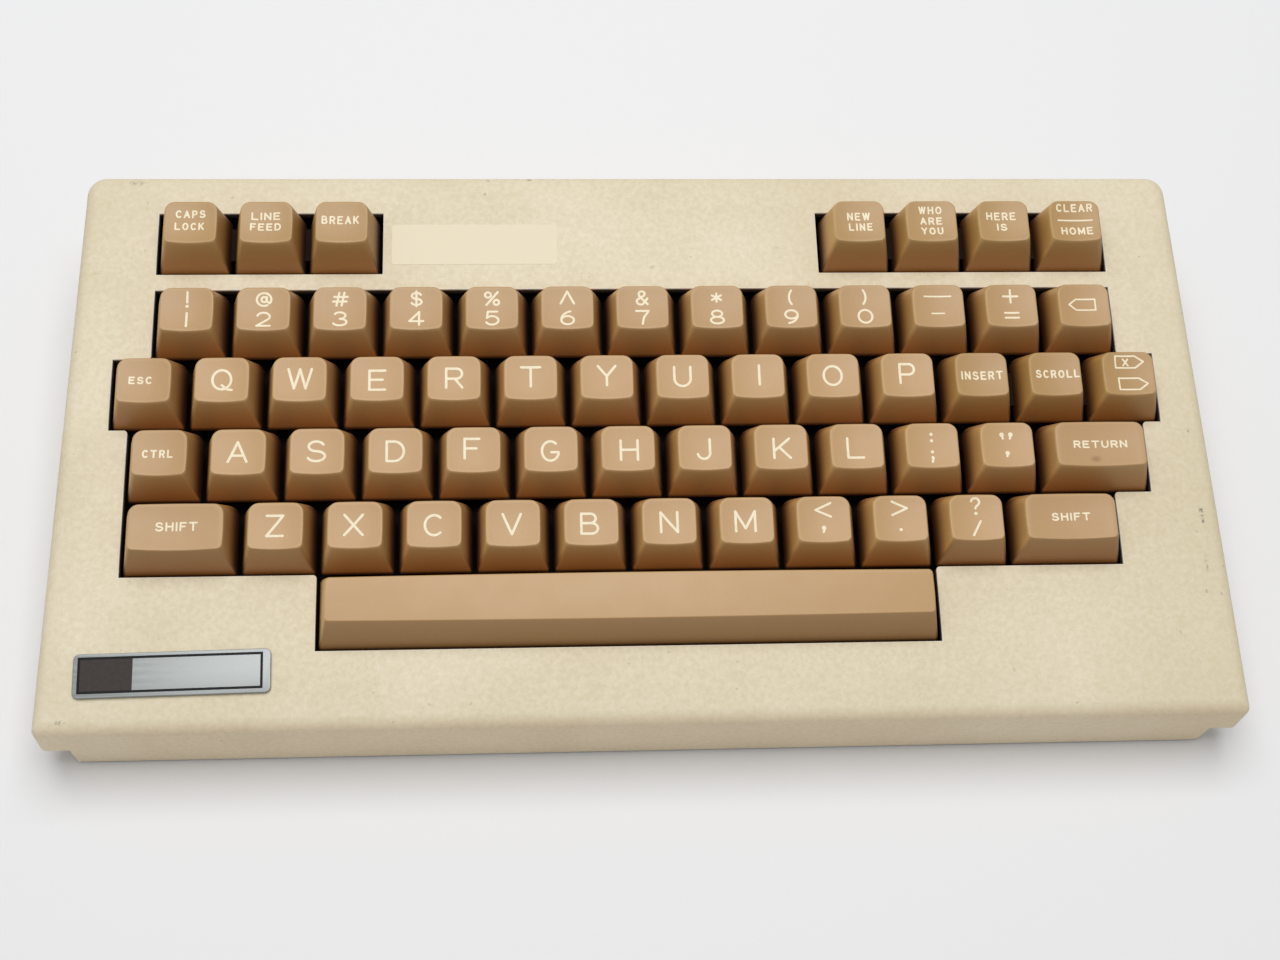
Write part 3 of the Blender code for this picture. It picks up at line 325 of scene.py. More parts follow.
# Scuffs on the case: place across and along it, half sizes, and how dark each is
SCUFFS = (
    (1410, -225, 6, 26, 1.0),
    (1411, -249, 5, 8, 0.8),
    (1406, -360, 5, 28, 0.6),
    (1397, -432, 4, 6, 0.6),
    (1404, -7, 4, 14, 0.7),
    (1334, 24, 4, 9, 0.8),
    (-283, 716, 8, 6, 0.8),
    (-253, 727, 16, 5, 0.9),
    (-314, 726, 16, 5, 0.6),
    (-399, 672, 4, 6, 0.5),
    (-1303, 704, 24, 8, 0.45),
    (-1405, -710, 14, 6, 0.9),
    (-1379, 447, 24, 4, 0.3),
)
SCUFF_MIDDLE = 0.035
SCUFF_RISE = 0.04
# A spot is nothing past the first share of its half sizes, and full within the second
SPOT_SHARES = (1.2, 0.3)
# The painted highlight on the rims of the key openings, from this far below the top
RIM_PAINTED_HIGHLIGHT = (0.95, 0.9, 0.78)
RIM_START = 0.00001
RIM_FULL = 0.00006
# The painted shade on the walls of the key openings: how dark, from how far below the top down to
# which depth, and how far round the keys
WALL_SHADE = (0.09, 0.07, 0.05)
WALL_SHADE_TOP = 0.0003
WALL_SHADE_FULL = 0.0009
WALL_SHADE_REACH = 0.002
WALL_DEPTH = 0.006
# Key plastics, each with the darker tone of its patches
KEY_TAN = (0.51, 0.31, 0.125)
KEY_TAN_DARK = (0.47, 0.28, 0.105)
NUMBER_TAN = (0.478, 0.29, 0.117)
NUMBER_TAN_DARK = (0.44, 0.262, 0.098)
FUNCTION_TAN = (0.445, 0.265, 0.092)
FUNCTION_TAN_DARK = (0.41, 0.238, 0.078)
# Painted shade: how they darken from the top of a cap down to its skirt
KEY_SHADE = (0.88, 0.575, 0.31)
BAR_SHADE = (0.86, 0.78, 0.66)
# Painted shade on the fronts of the bar and of the keys that have the pale case before them
BAR_FRONT_SHADE = (0.82, 0.76, 0.7)
CORNER_FRONT_SHADE = (0.81, 0.74, 0.63)
FRONT_TURN = (-0.3, -0.7)
# Painted shade and light on the flanks: dark low down, lighter to the left and dimmer to the right
FLANK_SHADE = (0.12, 0.07, 0.025)
BAR_FLANK_SHADE = (0.6, 0.5, 0.4)
LEFT_LIT = (1.36, 1.42, 1.38)
RIGHT_DIM = (0.84, 0.82, 0.8)
FLANK_TURN = (0.35, 0.8)
FLANK_HIGH = 0.0057
FLANK_LOW = -0.0007
# Painted shade on the part of a cap that stands below the case's top
WELL_SHADE = (0.2, 0.14, 0.1)
WELL_HIGH = -0.0005
WELL_LOW = -0.0016
KEY_SHINE = 0.75
# A smudge on the return key: its middle, its half sizes and how dark it is
RETURN_SMUDGE = ((-0.0015, -0.0035, 0.0082), (0.0015, 0.001, 0.02))
SMUDGE_SHADE = (0.7, 0.63, 0.56)
# Each key plastic's tones, and where its shades are its own
KEY_PLASTICS = {
    "tan_key_plastic": (KEY_TAN, KEY_TAN_DARK, {}),
    "mid_tan_key_plastic": (NUMBER_TAN, NUMBER_TAN_DARK, {}),
    "tan_corner_key_plastic": (KEY_TAN, KEY_TAN_DARK, {"front_shade": CORNER_FRONT_SHADE}),
    "mid_tan_corner_key_plastic": (NUMBER_TAN, NUMBER_TAN_DARK,
                                   {"front_shade": CORNER_FRONT_SHADE}),
    "rubbed_tan_key_plastic": (NUMBER_TAN, NUMBER_TAN_DARK, {"smudge": RETURN_SMUDGE}),
    "dark_tan_key_plastic": (FUNCTION_TAN, FUNCTION_TAN_DARK, {}),
    "tan_bar_plastic": (KEY_TAN, KEY_TAN_DARK, {
        "shade": BAR_SHADE, "flank_shade": BAR_FLANK_SHADE, "front_shade": BAR_FRONT_SHADE}),
}
LEGEND_CREAM = (0.9, 0.8, 0.58)
LEGEND_ROUGHNESS = 0.5
HOUSING_BLACK = (0.005, 0.004, 0.003)
HOUSING_SHINE = 0.08
BOARD_GREEN = (0.03, 0.11, 0.05)
# Drawn-out grain of brushed metal, and grain that is the same all ways
BRUSHED = (0.1, 1, 1)
EVEN = (1, 1, 1)
# Bumps: how strong and how high
CASE_WAVE_BUMP = (0.25, 0.0002)
CASE_BUMP = (0.7, 0.0001)
KEY_BUMP = (0.35, 0.00003)
METAL_BUMP = (0.25, 0.00002)
PAINT_BUMP = (0.3, 0.00003)
BOARD_BUMP = (0.2, 0.00002)
# Plain finishes: colour, least and greatest roughness, scale of the grain, shine, bump, how the
# grain is drawn, how metallic they are, and how much paler the grain gets
Finish = namedtuple("Finish", "colour rough scale shine bump drawn metallic spread",
                    defaults=(0.5, PAINT_BUMP, EVEN, 0.0, 0.25))
PLAIN_FINISHES = {
    "nameplate_aluminium": Finish((0.2544, 0.2696, 0.2664), (0.3, 0.44), 900.0, 0.5, METAL_BUMP,
                                  BRUSHED, 0.4),
    "screw_steel": Finish((0.336, 0.336, 0.32), (0.32, 0.46), 500.0, 0.5, METAL_BUMP, EVEN, 1.0),
    "wire_steel": Finish((0.36, 0.36, 0.36), (0.24, 0.38), 500.0, 0.5, METAL_BUMP, EVEN, 1.0),
    "printed_black": Finish((0.008, 0.008, 0.009), (0.4, 0.52), 800.0, 0.12),
    "printed_dark_panel": Finish((0.046, 0.037, 0.034), (0.45, 0.57), 900.0, 0.12),
    "film_label": Finish((0.71, 0.622, 0.442), (0.3, 0.42), 300.0, spread=0.04),
    # Painted shade: the links between banked caps are near black
    "link_painted_shade_plastic": Finish((0.012, 0.007, 0.004), (0.7, 0.82), 500.0, 0.1),
    # Black-finished steel, made still darker as painted shade in the gaps between the caps
    "blacked_plate_steel_and_painted_shade": Finish((0.006, 0.004, 0.003), (0.55, 0.67), 300.0, 0.08),
    "socket_black": Finish((0.02, 0.02, 0.02), (0.35, 0.47), 600.0),
}

# Grains: a noise's scale, detail, roughness and distortion, the values between which it comes to
# bear, and how strongly it does then
Grain = namedtuple("Grain", "scale detail rough warp low high strength")
CASE_PATCHES = Grain(28.0, 4.0, 0.6, 0.0, 0.36, 0.66, 1.0)
CASE_YELLOWING = Grain(11.0, 2.0, 0.5, 0.4, 0.5, 0.75, 0.55)
CASE_GRAIN = Grain(750.0, 4.0, 0.7, 0.0, 0.35, 0.65, 0.25)
CASE_SPECKS = Grain(420.0, 1.0, 0.5, 0.0, 0.77, 0.8, 0.25)
CASE_WAVES = Grain(90.0, 2.0, 0.5, 0.0, 0.0, 1.0, 1.0)
SCUFF_GRAIN = Grain(900.0, 4.0, 0.7, 0.0, 0.42, 0.56, 1.0)
KEY_PATCHES = Grain(40.0, 2.0, 0.5, 0.0, 0.35, 0.7, 0.25)
KEY_GRAIN = Grain(2200.0, 2.0, 0.6, 0.0, 0.3, 0.7, 0.08)
KEY_GREASE = Grain(130.0, 2.0, 0.5, 0.0, 0.4, 0.7, 1.0)
LEGEND_WEAR = Grain(700.0, 3.0, 0.6, 0.0, 0.4, 0.75, 0.25)
BOARD_GRAIN = Grain(400.0, 3.0, 0.5, 0.0, 0.35, 0.65, 0.35)
PLAIN_GRAIN = Grain(500.0, 3.0, 0.6, 0.0, 0.35, 0.65, 1.0)
# The values of a noise at which a surface is least and most rough, and how rough it is then
ROUGH_VALUES = (0.3, 0.7)
CASE_ROUGH = (0.5, 0.68)
KEY_ROUGH = (0.46, 0.5)
BOARD_ROUGH = (0.4, 0.5)


# Key plane

TO_WORLD = Matrix.Rotation(SLOPE, 4, "X")
TO_PLANE = TO_WORLD.inverted()


def plane_box(node):
    """The low and high corner of a node, in key plane coordinates."""
    points = [TO_PLANE @ vertex.co for vertex in NODES[node].data.vertices]
    low = Vector([min(point[i] for point in points) for i in range(3)])
    high = Vector([max(point[i] for point in points) for i in range(3)])
    return low, high


TOP = plane_box("upper_case")[1].z
CAP_LOW, CAP_HIGH = plane_box("key_a")
HOME_Y = (CAP_LOW.y + CAP_HIGH.y) / 2
# L is the eighth key to the right of A
KEY_PITCH = (plane_box("key_l")[0].x - CAP_LOW.x) / 8
KEY_NODES = [node for node in sorted(NODES)
             if node.startswith("key_") or node in BANK_COUNTS or node == "space_bar"]


def on_plane(x, y, rise=0.0, turn=0.0):
    """The frame of a place on the case's top."""
    return TO_WORLD @ Matrix.Translation((x, y, TOP + rise)) @ Matrix.Rotation(turn, 4, "Z")


def cells(node):
    """The frame of a node's middle on the case's top, and how far along from it its keys stand."""
    low, high = plane_box(node)
    count = BANK_COUNTS.get(node, 1)
    place = on_plane((low.x + high.x) / 2, (low.y + high.y) / 2)
    return place, [(i - (count - 1) / 2) * KEY_PITCH for i in range(count)]


# Meshes

def smoothed(mesh):
    mesh.shade_smooth()
    mesh.set_sharp_from_angle(angle=SHARP_ANGLE)
    return mesh


def mesh_from(bm, name):
    """A mesh whose faces point out, without the normals that a node's own mesh came with."""
    bmesh.ops.recalc_face_normals(bm, faces=bm.faces)
    mesh = bpy.data.meshes.new(name)
    bm.to_mesh(mesh)
    bm.free()
    for attribute in [a for a in mesh.attributes if a.name == "custom_normal"]:
        mesh.attributes.remove(attribute)
    return smoothed(mesh)


def new_object(name, data):
    obj = bpy.data.objects.new(name, data)
    bpy.context.scene.collection.objects.link(obj)
    return obj


def piece(name, shape, finish, body, matrix=None, stands_for=()):
    """An object that rides on a body and takes its finish from a slot."""
    mesh = mesh_from(shape, name) if isinstance(shape, bmesh.types.BMesh) else shape
    obj = new_object(name, mesh)
    if matrix:
        obj.matrix_world = matrix
    if not mesh.materials:
        mesh.materials.append(finish)
    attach(obj, body)
    if stands_for:
        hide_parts(*stands_for)


def add_rings(bm, rings):
    """Joins rings of as many points each into a surface, and caps its ends."""
    made = [[bm.verts.new(point) for point in ring] for ring in rings]
    count = len(made[0])
    for near, far in zip(made, made[1:]):
        for i in range(count):
            j = (i + 1) % count
            bm.faces.new((near[i], near[j], far[j], far[i]))
    bm.faces.new(made[0])
    bm.faces.new(made[-1])


def at_height(points, height):
    return [Vector((x, y, height)) for x, y in points]


def add_box(bm, low, high):
    low, high = Vector(low), Vector(high)
    frame_of_box = Matrix.Translation((low + high) / 2) @ Matrix.Diagonal((*(high - low), 1))
    bmesh.ops.create_cube(bm, size=1, matrix=frame_of_box)


def outline(half_x, front, back, radii, side_steps=SIDE_STEPS, bulge=True):
    """Points round a rectangle with round corners, its sides bowed a little outwards."""
    front_radius, back_radius = radii
    corners = ((half_x, back, back_radius, 0), (-half_x, back, back_radius, 90),
               (-half_x, front, front_radius, 180), (half_x, front, front_radius, 270))
    arcs = []
    for x, y, radius, start in corners:
        centre_x = x - math.copysign(radius, x)
        centre_y = y - radius if y == back else y + radius
        arc = []
        for step in range(CORNER_STEPS + 1):
            angle = math.radians(start + 90 * step / CORNER_STEPS)
            arc.append((centre_x + radius * math.cos(angle), centre_y + radius * math.sin(angle)))
        arcs.append(arc)
    points = []
    for i, arc in enumerate(arcs):
        points += arc
        (x0, y0), (x1, y1) = arc[-1], arcs[(i + 1) % len(arcs)][0]
        for step in range(1, side_steps):
            share = step / side_steps
            points.append((x0 + (x1 - x0) * share, y0 + (y1 - y0) * share))
    if not bulge:
        return points
    middle, half_y = (front + back) / 2, (back - front) / 2
    bowed = []
    for x, y in points:
        across, along = x / half_x, (y - middle) / half_y
        bowed.append((x + BULGE_ACROSS * across * (1 - along ** 2),
                      y + BULGE_ALONG * along * (1 - across ** 2)))
    return bowed


# Key caps

class Cap:
    """A cap's shape about the middle of its cell, on the case's top."""

    def __init__(self, width, depth, height, leans, bar):
        side, front, back = leans
        self.half_x, self.half_y, self.height, self.bar = width / 2, depth / 2, height, bar
        self.top_x = self.half_x - side
        self.top_front = front - self.half_y
        self.top_back = self.half_y - back
        self.middle = (self.top_front + self.top_back) / 2
        self.top_half = (self.top_back - self.top_front) / 2
        self.steps = BAR_SIDE_STEPS if bar else SIDE_STEPS
        self.skirt_radii = BAR_SKIRT_RADII if bar else SKIRT_RADII
        self.top_radii = BAR_TOP_RADII if bar else TOP_RADII
        self.ceiling = height - CAP_WALL - DISH_ACROSS - DISH_ALONG

    def surface(self, x, y):
        """The height of the dished top."""
        if self.bar:
            return self.height
        across = DISH_ACROSS * (1 - min(abs(x) / self.top_x, 1) ** 2)
        along = DISH_ALONG * (1 - min(abs(y - self.middle) / self.top_half, 1) ** 2)
        return self.height - across - along

    def draped(self, points, drop=0.0):
        """Points laid on the top, or this far below it."""
        return [Vector((x, y, self.surface(x, y) - drop)) for x, y in points]

    def top_ring(self, inset, share=1.0):
        """The top's outline, drawn in by a length and then by a share."""
        ring = outline(self.top_x - inset, self.top_front + inset, self.top_back - inset,
                       [radius - inset for radius in self.top_radii], self.steps)
        return [(x * share, self.middle + (y - self.middle) * share) for x, y in ring]

    def shell(self, bm, x):
        """Adds the hollow cap and its stem, this far along from the middle."""
        skirt = outline(self.half_x, -self.half_y, self.half_y, self.skirt_radii, self.steps, False)
        rim = self.top_ring(0)
        inner = outline(self.half_x - CAP_WALL, CAP_WALL - self.half_y, self.half_y - CAP_WALL,
                        INNER_RADII, self.steps, False)
        ceiling = outline(self.top_x - CAP_WALL, self.top_front + CAP_WALL,
                          self.top_back - CAP_WALL, INNER_RADII, self.steps, False)
        rings = [at_height(ceiling, self.ceiling), at_height(inner, -CAP_SKIRT_DROP)]
        for share in FLANK_SHARES:
            ring = []
            for (x0, y0), (x1, y1) in zip(skirt, rim):
                top = self.surface(x1, y1)
                ring.append(Vector((x0 + (x1 - x0) * share, y0 + (y1 - y0) * share,
                                    -CAP_SKIRT_DROP + (top + CAP_SKIRT_DROP) * share)))
            rings.append(ring)
        for inset_share, drop_share in EDGE_SHARES:
            rings.append(self.draped(self.top_ring(EDGE_RADIUS * inset_share),
                                     EDGE_RADIUS * drop_share))
        for share in () if self.bar else DISH_SHARES:
            rings.append(self.draped(self.top_ring(EDGE_RADIUS, share)))
        add_rings(bm, [[point + Vector((x, 0, 0)) for point in ring] for ring in rings])
        half_stem = STEM_WIDTH / 2
        add_box(bm, (x - half_stem, -half_stem, -CAP_SKIRT_DROP - STEM_LENGTH),
                (x + half_stem, half_stem, self.ceiling + STEM_BITE))


def add_lugs(bm, cap):
    """The guide lugs under the space bar, each round the slot that a wire's hook slides in."""
    half = LUG_DEPTH / 2
    for side in (-1, 1):
        near, far = sorted((side * LUG_OUTER, side * (LUG_OUTER - LUG_WIDTH)))
        head = cap.ceiling + STEM_BITE
        bar_half = LUG_SLOT_HALF + LUG_BITE
        for low_y, high_y, low, high in ((-half, -LUG_SLOT_HALF, -LUG_FOOT, head),
                                         (LUG_SLOT_HALF, half, -LUG_FOOT, head),
                                         (-bar_half, bar_half, -LUG_FOOT, -LUG_SLOT_FOOT),
                                         (-bar_half, bar_half, -LUG_SLOT_HEAD, head)):
            add_box(bm, (near, low_y, low), (far, high_y, high))


def cap_of(node):
    """The cap that a node's cells have."""
    low, high = plane_box(node)
    count = BANK_COUNTS.get(node, 1)
    width = high.x - low.x - (count - 1) * KEY_PITCH
    bar = node == "space_bar"
    leans = FUNCTION_CAP_LEANS if node.startswith("function") else CAP_LEANS
    return Cap(width, high.y - low.y, high.z - TOP, BAR_LEANS if bar else leans, bar)


def key_cap(node, finish, link_finish):
    """The caps of a node in one piece, and the links between them in another."""
    cap = cap_of(node)
    place, offsets = cells(node)
    bm = bmesh.new()
    for x in offsets:
        cap.shell(bm, x)
    if cap.bar:
        add_lugs(bm, cap)
    piece(node + "_cap", bm, finish, node, place, (node,))
    if len(offsets) > 1:
        bm = bmesh.new()
        half_link = (KEY_PITCH - 2 * cap.half_x + CAP_WALL) / 2
        for x0, x1 in zip(offsets, offsets[1:]):
            edge = (x0 + x1) / 2
            add_box(bm, (edge - half_link, -LINK_WIDTH / 2, -CAP_SKIRT_DROP),
                    (edge + half_link, LINK_WIDTH / 2, LINK_THICKNESS - CAP_SKIRT_DROP))
        piece(node + "_links", bm, link_finish, node, place)
    return cap


# Legends

def trace(stroke):
    """The points of a stroke, with its arcs drawn out."""
    points = []
    for item in stroke:
        if len(item) == 2:
            points.append(Vector(item))
            continue
        x, y, across, up, start, end = item
        steps = max(2, math.ceil(abs(end - start) / ARC_STEP))
        for step in range(steps + 1):
            angle = math.radians(start + (end - start) * step / steps)
            points.append(Vector((x + across * math.cos(angle), y + up * math.sin(angle))))
    return [p for i, p in enumerate(points) if i == 0 or (p - points[i - 1]).length > WELD]


def runs(points):
    """The stroke cut at its sharp corners, so that each run bends smoothly."""
    cut = [0]
    for i in range(1, len(points) - 1):
        before, after = points[i] - points[i - 1], points[i + 1] - points[i]
        if before.angle(after) > CORNER_TURN:
            cut.append(i)
    cut.append(len(points) - 1)
    return [points[start:end + 1] for start, end in zip(cut, cut[1:])]


def stretched(points):
    """The points with more between those that lie far apart, to follow the dished top."""
    found = [points[0]]
    for before, after in zip(points, points[1:]):
        steps = max(1, math.ceil((after - before).length / STRETCH))
        found += [before.lerp(after, step / steps) for step in range(1, steps + 1)]
    return found


def stations(points, radius):
    """Places along a run with their half widths and directions, with round ends."""
    count = len(points)
    found = []
    for i, point in enumerate(points):
        ahead = (points[min(i + 1, count - 1)] - points[max(i - 1, 0)]).normalized()
        found.append((point, radius, ahead))
    first, last = found[0], found[-1]
    for step in range(1, END_STEPS + 1):
        angle = math.pi / 2 * step / END_STEPS * END_SHARE
        reach, half = radius * math.sin(angle), radius * math.cos(angle)
        found.insert(0, (first[0] - first[2] * reach, half, first[2]))
        found.append((last[0] + last[2] * reach, half, last[2]))
    return found


def add_ribbon(bm, points, radius, cap, rise):
    """A flat stroke with round ends, which follows the cap's top a little proud of it."""
    rings = []
    for point, half, ahead in stations(points, radius):
        sideways = Vector((-ahead.y, ahead.x)) * half
        left, right = point + sideways, point - sideways
        corners = ((left, rise), (right, rise), (right, -LEGEND_SUNK), (left, -LEGEND_SUNK))
        rings.append([Vector((side.x, side.y, cap.surface(side.x, side.y) + height))
                      for side, height in corners])
    add_rings(bm, rings)


def add_text(bm, text, height, width, middle, stroke, cap, offset_x=0.0):
    """Writes a word about its middle, its letters drawn out to fill the width."""
    natural = sum(GLYPH_SHARES[letter][0] for letter in text) * height
    clear = width - stroke if width else natural
    scale = (clear - WORD_GAP * (len(text) - 1)) / natural if natural else 1.0
    pen, rise = middle[0] - clear / 2, LEGEND_PROUD
    for letter in text:
        share, *strokes = GLYPH_SHARES[letter]
        for one in strokes:
            path = trace(one)
            places = [Vector((pen + p.x * height * scale, middle[1] + (p.y - 0.5) * height))
                      for p in path]
            radius = stroke / 2
            if len(places) == 1:
                radius *= DOT_SHARE
                places.append(places[0] + Vector((WELD, 0)))
            for run in runs(places):
                # A run is drawn in the cap's own frame and then moved along to its cell
                start = len(bm.verts)
                add_ribbon(bm, stretched(run), radius, cap, rise)
                bm.verts.ensure_lookup_table()
                for vertex in bm.verts[start:]:
                    vertex.co.x += offset_x
                rise += LEGEND_STEP
        pen += share * height * scale + WORD_GAP


def legends(node, cap, finish):
    """The letters of a node's keys, in one piece."""
    place, offsets = cells(node)
    bm = bmesh.new()
    name = node.removeprefix("key_").upper()
    if len(name) == 1 and name.isalpha():
        x, y = LETTER_SHIFTS.get(name, (0, 0))
        middle = (TENTH * x, LETTER_RISE + TENTH * y)
        add_text(bm, name, LETTER_HEIGHT, None, middle, LETTER_STROKE, cap)
    if node in SIGN_KEYS:
        upper, lower = SIGN_KEYS[node]
        add_text(bm, upper, SIGN_HEIGHT, None, (0, SIGN_RISE), SIGN_STROKE, cap)
        add_text(bm, lower, DIGIT_HEIGHT, None, (0, DIGIT_RISE), SIGN_STROKE, cap)
    for cell, text, *tenths in WORDS.get(node, ()):
        height, width, x, y = (TENTH * value for value in tenths)
        add_text(bm, text, height, width, (x, y), WORD_STROKE, cap, offsets[cell])
    if not bm.verts:
        bm.free()
        return
    piece(node + "_legend", bm, finish, node, place)


# Case and plate

def on_top(edge):
    """Whether an edge lies in the case's top."""
    return all((TO_PLANE @ vertex.co).z > TOP - WELD for vertex in edge.verts)


def on_foot(edge):
    """Whether an edge lies in the underside of a foot."""
    return all(vertex.co.z < FOOT_LEVEL for vertex in edge.verts)


def rounded_piece(node, name, edge, finish, chosen=None):
    """A node's own shape with its sharp edges rounded, or only the chosen ones."""
    bm = bmesh.new()
    bm.from_mesh(NODES[node].data)
    bmesh.ops.remove_doubles(bm, verts=bm.verts, dist=WELD)
    bmesh.ops.dissolve_limit(bm, angle_limit=FLAT_ANGLE, verts=bm.verts, edges=bm.edges)
    sharp = [e for e in bm.edges if len(e.link_faces) == 2 and e.calc_face_angle() > RIM_ANGLE
             and (chosen is None or chosen(e))]
    bmesh.ops.bevel(bm, geom=sharp, offset=edge, segments=ROUND_STEPS, profile=0.5,
                    affect="EDGES", clamp_overlap=True)
    bmesh.ops.remove_doubles(bm, verts=bm.verts, dist=FINE_WELD)
    piece(name, bm, finish, "case", None, (node,))


def name_plate(metal, black, grey):
    """The metal sheet, with a printed frame and a dark panel left of its divider."""
    low, high = plane_box("nameplate")
    place = on_plane((low.x + high.x) / 2, (low.y + high.y) / 2, high.z - TOP, PLATE_TURN)
    rounded_piece("nameplate", "nameplate_sheet", PLATE_EDGE, metal)
    bm = bmesh.new()
    rings = []
    for inset, height in ((0, -PLATE_PRINT), (0, PLATE_PRINT), (PLATE_LINE, PLATE_PRINT),
                          (PLATE_LINE, -PLATE_PRINT)):
        x0, x1 = PLATE_FRAME_LEFT + inset, PLATE_FRAME_RIGHT - inset
        y0, y1 = PLATE_FRAME_FRONT + inset, PLATE_FRAME_BACK - inset
        corners = ((x0, y0), (x1, y0), (x1, y1), (x0, y1))
        rings.append([bm.verts.new((x, y, height)) for x, y in corners])
    for near, far in zip(rings, rings[1:] + rings[:1]):
        for i in range(4):
            bm.faces.new((near[i], near[(i + 1) % 4], far[(i + 1) % 4], far[i]))
    piece("nameplate_frame", bm, black, "case", place)
    bm = bmesh.new()
    add_box(bm, (PLATE_FRAME_LEFT + PLATE_LINE, PLATE_FRAME_FRONT + PLATE_LINE, -PLATE_PRINT),
            (PLATE_DIVIDER, PLATE_FRAME_BACK - PLATE_LINE, PLATE_PRINT / 2))
    piece("nameplate_panel", bm, grey, "case", place)


def film_label(finish):
    middle = ((LABEL_LEFT + LABEL_RIGHT) / 2, HOME_Y + (LABEL_FRONT + LABEL_BACK) / 2)
    half_x, half_y = (LABEL_RIGHT - LABEL_LEFT) / 2, (LABEL_BACK - LABEL_FRONT) / 2
    points = outline(half_x, -half_y, half_y, (LABEL_CORNER, LABEL_CORNER), bulge=False)
    bm = bmesh.new()
    add_rings(bm, [at_height(points, -LABEL_SUNK), at_height(points, LABEL_THICKNESS)])
    piece("film_label", bm, finish, "case", on_plane(*middle))


def screw_mesh():
    """A pan head with a cross slot, and its shank, with the seat at the origin."""
    profile = [(SCREW_SHANK_RADIUS, SCREW_SHANK_LENGTH), (SCREW_SHANK_RADIUS, 0)]
    profile += [(SCREW_HEAD_RADIUS * across, -SCREW_HEAD_HEIGHT * down)
                for across, down in SCREW_HEAD_SHARES]
    bm = bmesh.new()
    rings = []
    for radius, height in profile:
        rings.append([Vector((radius * math.cos(math.tau * i / SCREW_STEPS),
                              radius * math.sin(math.tau * i / SCREW_STEPS), height))
                      for i in range(SCREW_STEPS)])
    add_rings(bm, rings)
    body = new_object("screw_body", mesh_from(bm, "screw_body"))
    cutters = []
    slot = (SCREW_SLOT_HALF, SCREW_SLOT_WIDTH / 2)
    for half_x, half_y in (slot, slot[::-1]):
        bm = bmesh.new()
        add_box(bm, (-half_x, -half_y, -SCREW_HEAD_HEIGHT * 2),
                (half_x, half_y, SCREW_SLOT_DEPTH - SCREW_HEAD_HEIGHT))
        cutter = new_object("screw_slot", mesh_from(bm, "screw_slot"))
        modifier = body.modifiers.new(cutter.name, "BOOLEAN")
        modifier.operation = "DIFFERENCE"
        modifier.object = cutter
        cutters.append(cutter)
    bpy.context.view_layer.update()
    graph = bpy.context.evaluated_depsgraph_get()
    mesh = bpy.data.meshes.new_from_object(body.evaluated_get(graph))
    for obj in [body, *cutters]:
        bpy.data.objects.remove(obj)
    return smoothed(mesh)


def screws(finish):
    """Four screws in the posts of the base, all in line with the case's narrow back."""
    mesh = screw_mesh()
    low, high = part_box("upper_case")
    narrow = max(vertex.co.x for vertex in NODES["upper_case"].data.vertices
                 if vertex.co.y > high.y - NARROW_STRIP) - SCREW_FROM_SIDE
    front, back = low.y + SCREW_FROM_FRONT, high.y - SCREW_FROM_BACK
    corners = ((-narrow, front), (narrow, front), (-narrow, back), (narrow, back))
    for i, (x, y) in enumerate(corners):
        turn = Matrix.Rotation(SCREW_TURN + SCREW_TURN_STEP * i, 4, "Z")
        piece(f"case_screw_{i + 1}", mesh, finish, "case",
              Matrix.Translation((x, y, SCREW_SEAT)) @ turn)


# Materials

def new_material(name):
    made = bpy.data.materials.new(name)
    made.use_nodes = True
    return made, made.node_tree, made.node_tree.nodes["Principled BSDF"]


def set_inputs(tree, node, inputs):
    """Sets or links a node's inputs."""
    for name, value in inputs.items():
        entry = node.inputs[name]
        if isinstance(value, bpy.types.NodeSocket):
            tree.links.new(value, entry)
        else:
            entry.default_value = (*value, 1.0) if entry.type == "RGBA" else value


def add_node(tree, kind, inputs, **settings):
    made = tree.nodes.new("ShaderNode" + kind)
    for name, value in settings.items():
        setattr(made, name, value)
    set_inputs(tree, made, inputs)
    return made


def span(tree, value, low, high, to_low=0.0, to_high=1.0, smooth=False):
    """A value between low and high, drawn out to lie between two others."""
    return add_node(tree, "MapRange", {
        "Value": value, "From Min": low, "From Max": high, "To Min": to_low, "To Max": to_high,
    }, interpolation_type="SMOOTHSTEP" if smooth else "LINEAR").outputs["Result"]


def noise(tree, place, grain):
    return add_node(tree, "TexNoise", {
        "Vector": place, "Scale": grain.scale, "Detail": grain.detail, "Roughness": grain.rough,
        "Distortion": grain.warp}).outputs["Fac"]


def bearing(tree, value, grain):
    """How strongly a grain bears where its noise has a value."""
    return span(tree, value, grain.low, grain.high, 0.0, grain.strength)


def grained(tree, place, grain):
    return bearing(tree, noise(tree, place, grain), grain)


def blend(tree, share, first, second, mode="MIX"):
    return add_node(tree, "Mix", {0: share, 6: first, 7: second}, data_type="RGBA",
                    blend_type=mode).outputs[2]


def math_node(tree, operation, *values):
    return add_node(tree, "Math", dict(enumerate(values)), operation=operation).outputs[0]


def bump(tree, height, strength, distance, under=None):
    inputs = {"Height": height, "Strength": strength, "Distance": distance}
    if under:
        inputs["Normal"] = under
    return add_node(tree, "Bump", inputs).outputs["Normal"]


def object_place(tree):
    return add_node(tree, "TexCoord", {}).outputs["Object"]


def facing(tree):
    """Which way a face is turned, in X, Y and Z."""
    normal = add_node(tree, "TexCoord", {}).outputs["Normal"]
    return add_node(tree, "SeparateXYZ", {"Vector": normal}).outputs


def in_key_plane(tree, place):
    """A place on the case as X, Y and Z of the key plane."""
    tilted = add_node(tree, "Mapping", {"Vector": place, "Rotation": (-SLOPE, 0, 0)})
    return add_node(tree, "SeparateXYZ", {"Vector": tilted.outputs["Vector"]}).outputs


def connect(tree, shader, colour, rough, normal, shine=0.5, metallic=0.0):
    set_inputs(tree, shader, {"Base Color": colour, "Roughness": rough, "Normal": normal,
                              "Specular IOR Level": shine, "Metallic": metallic})


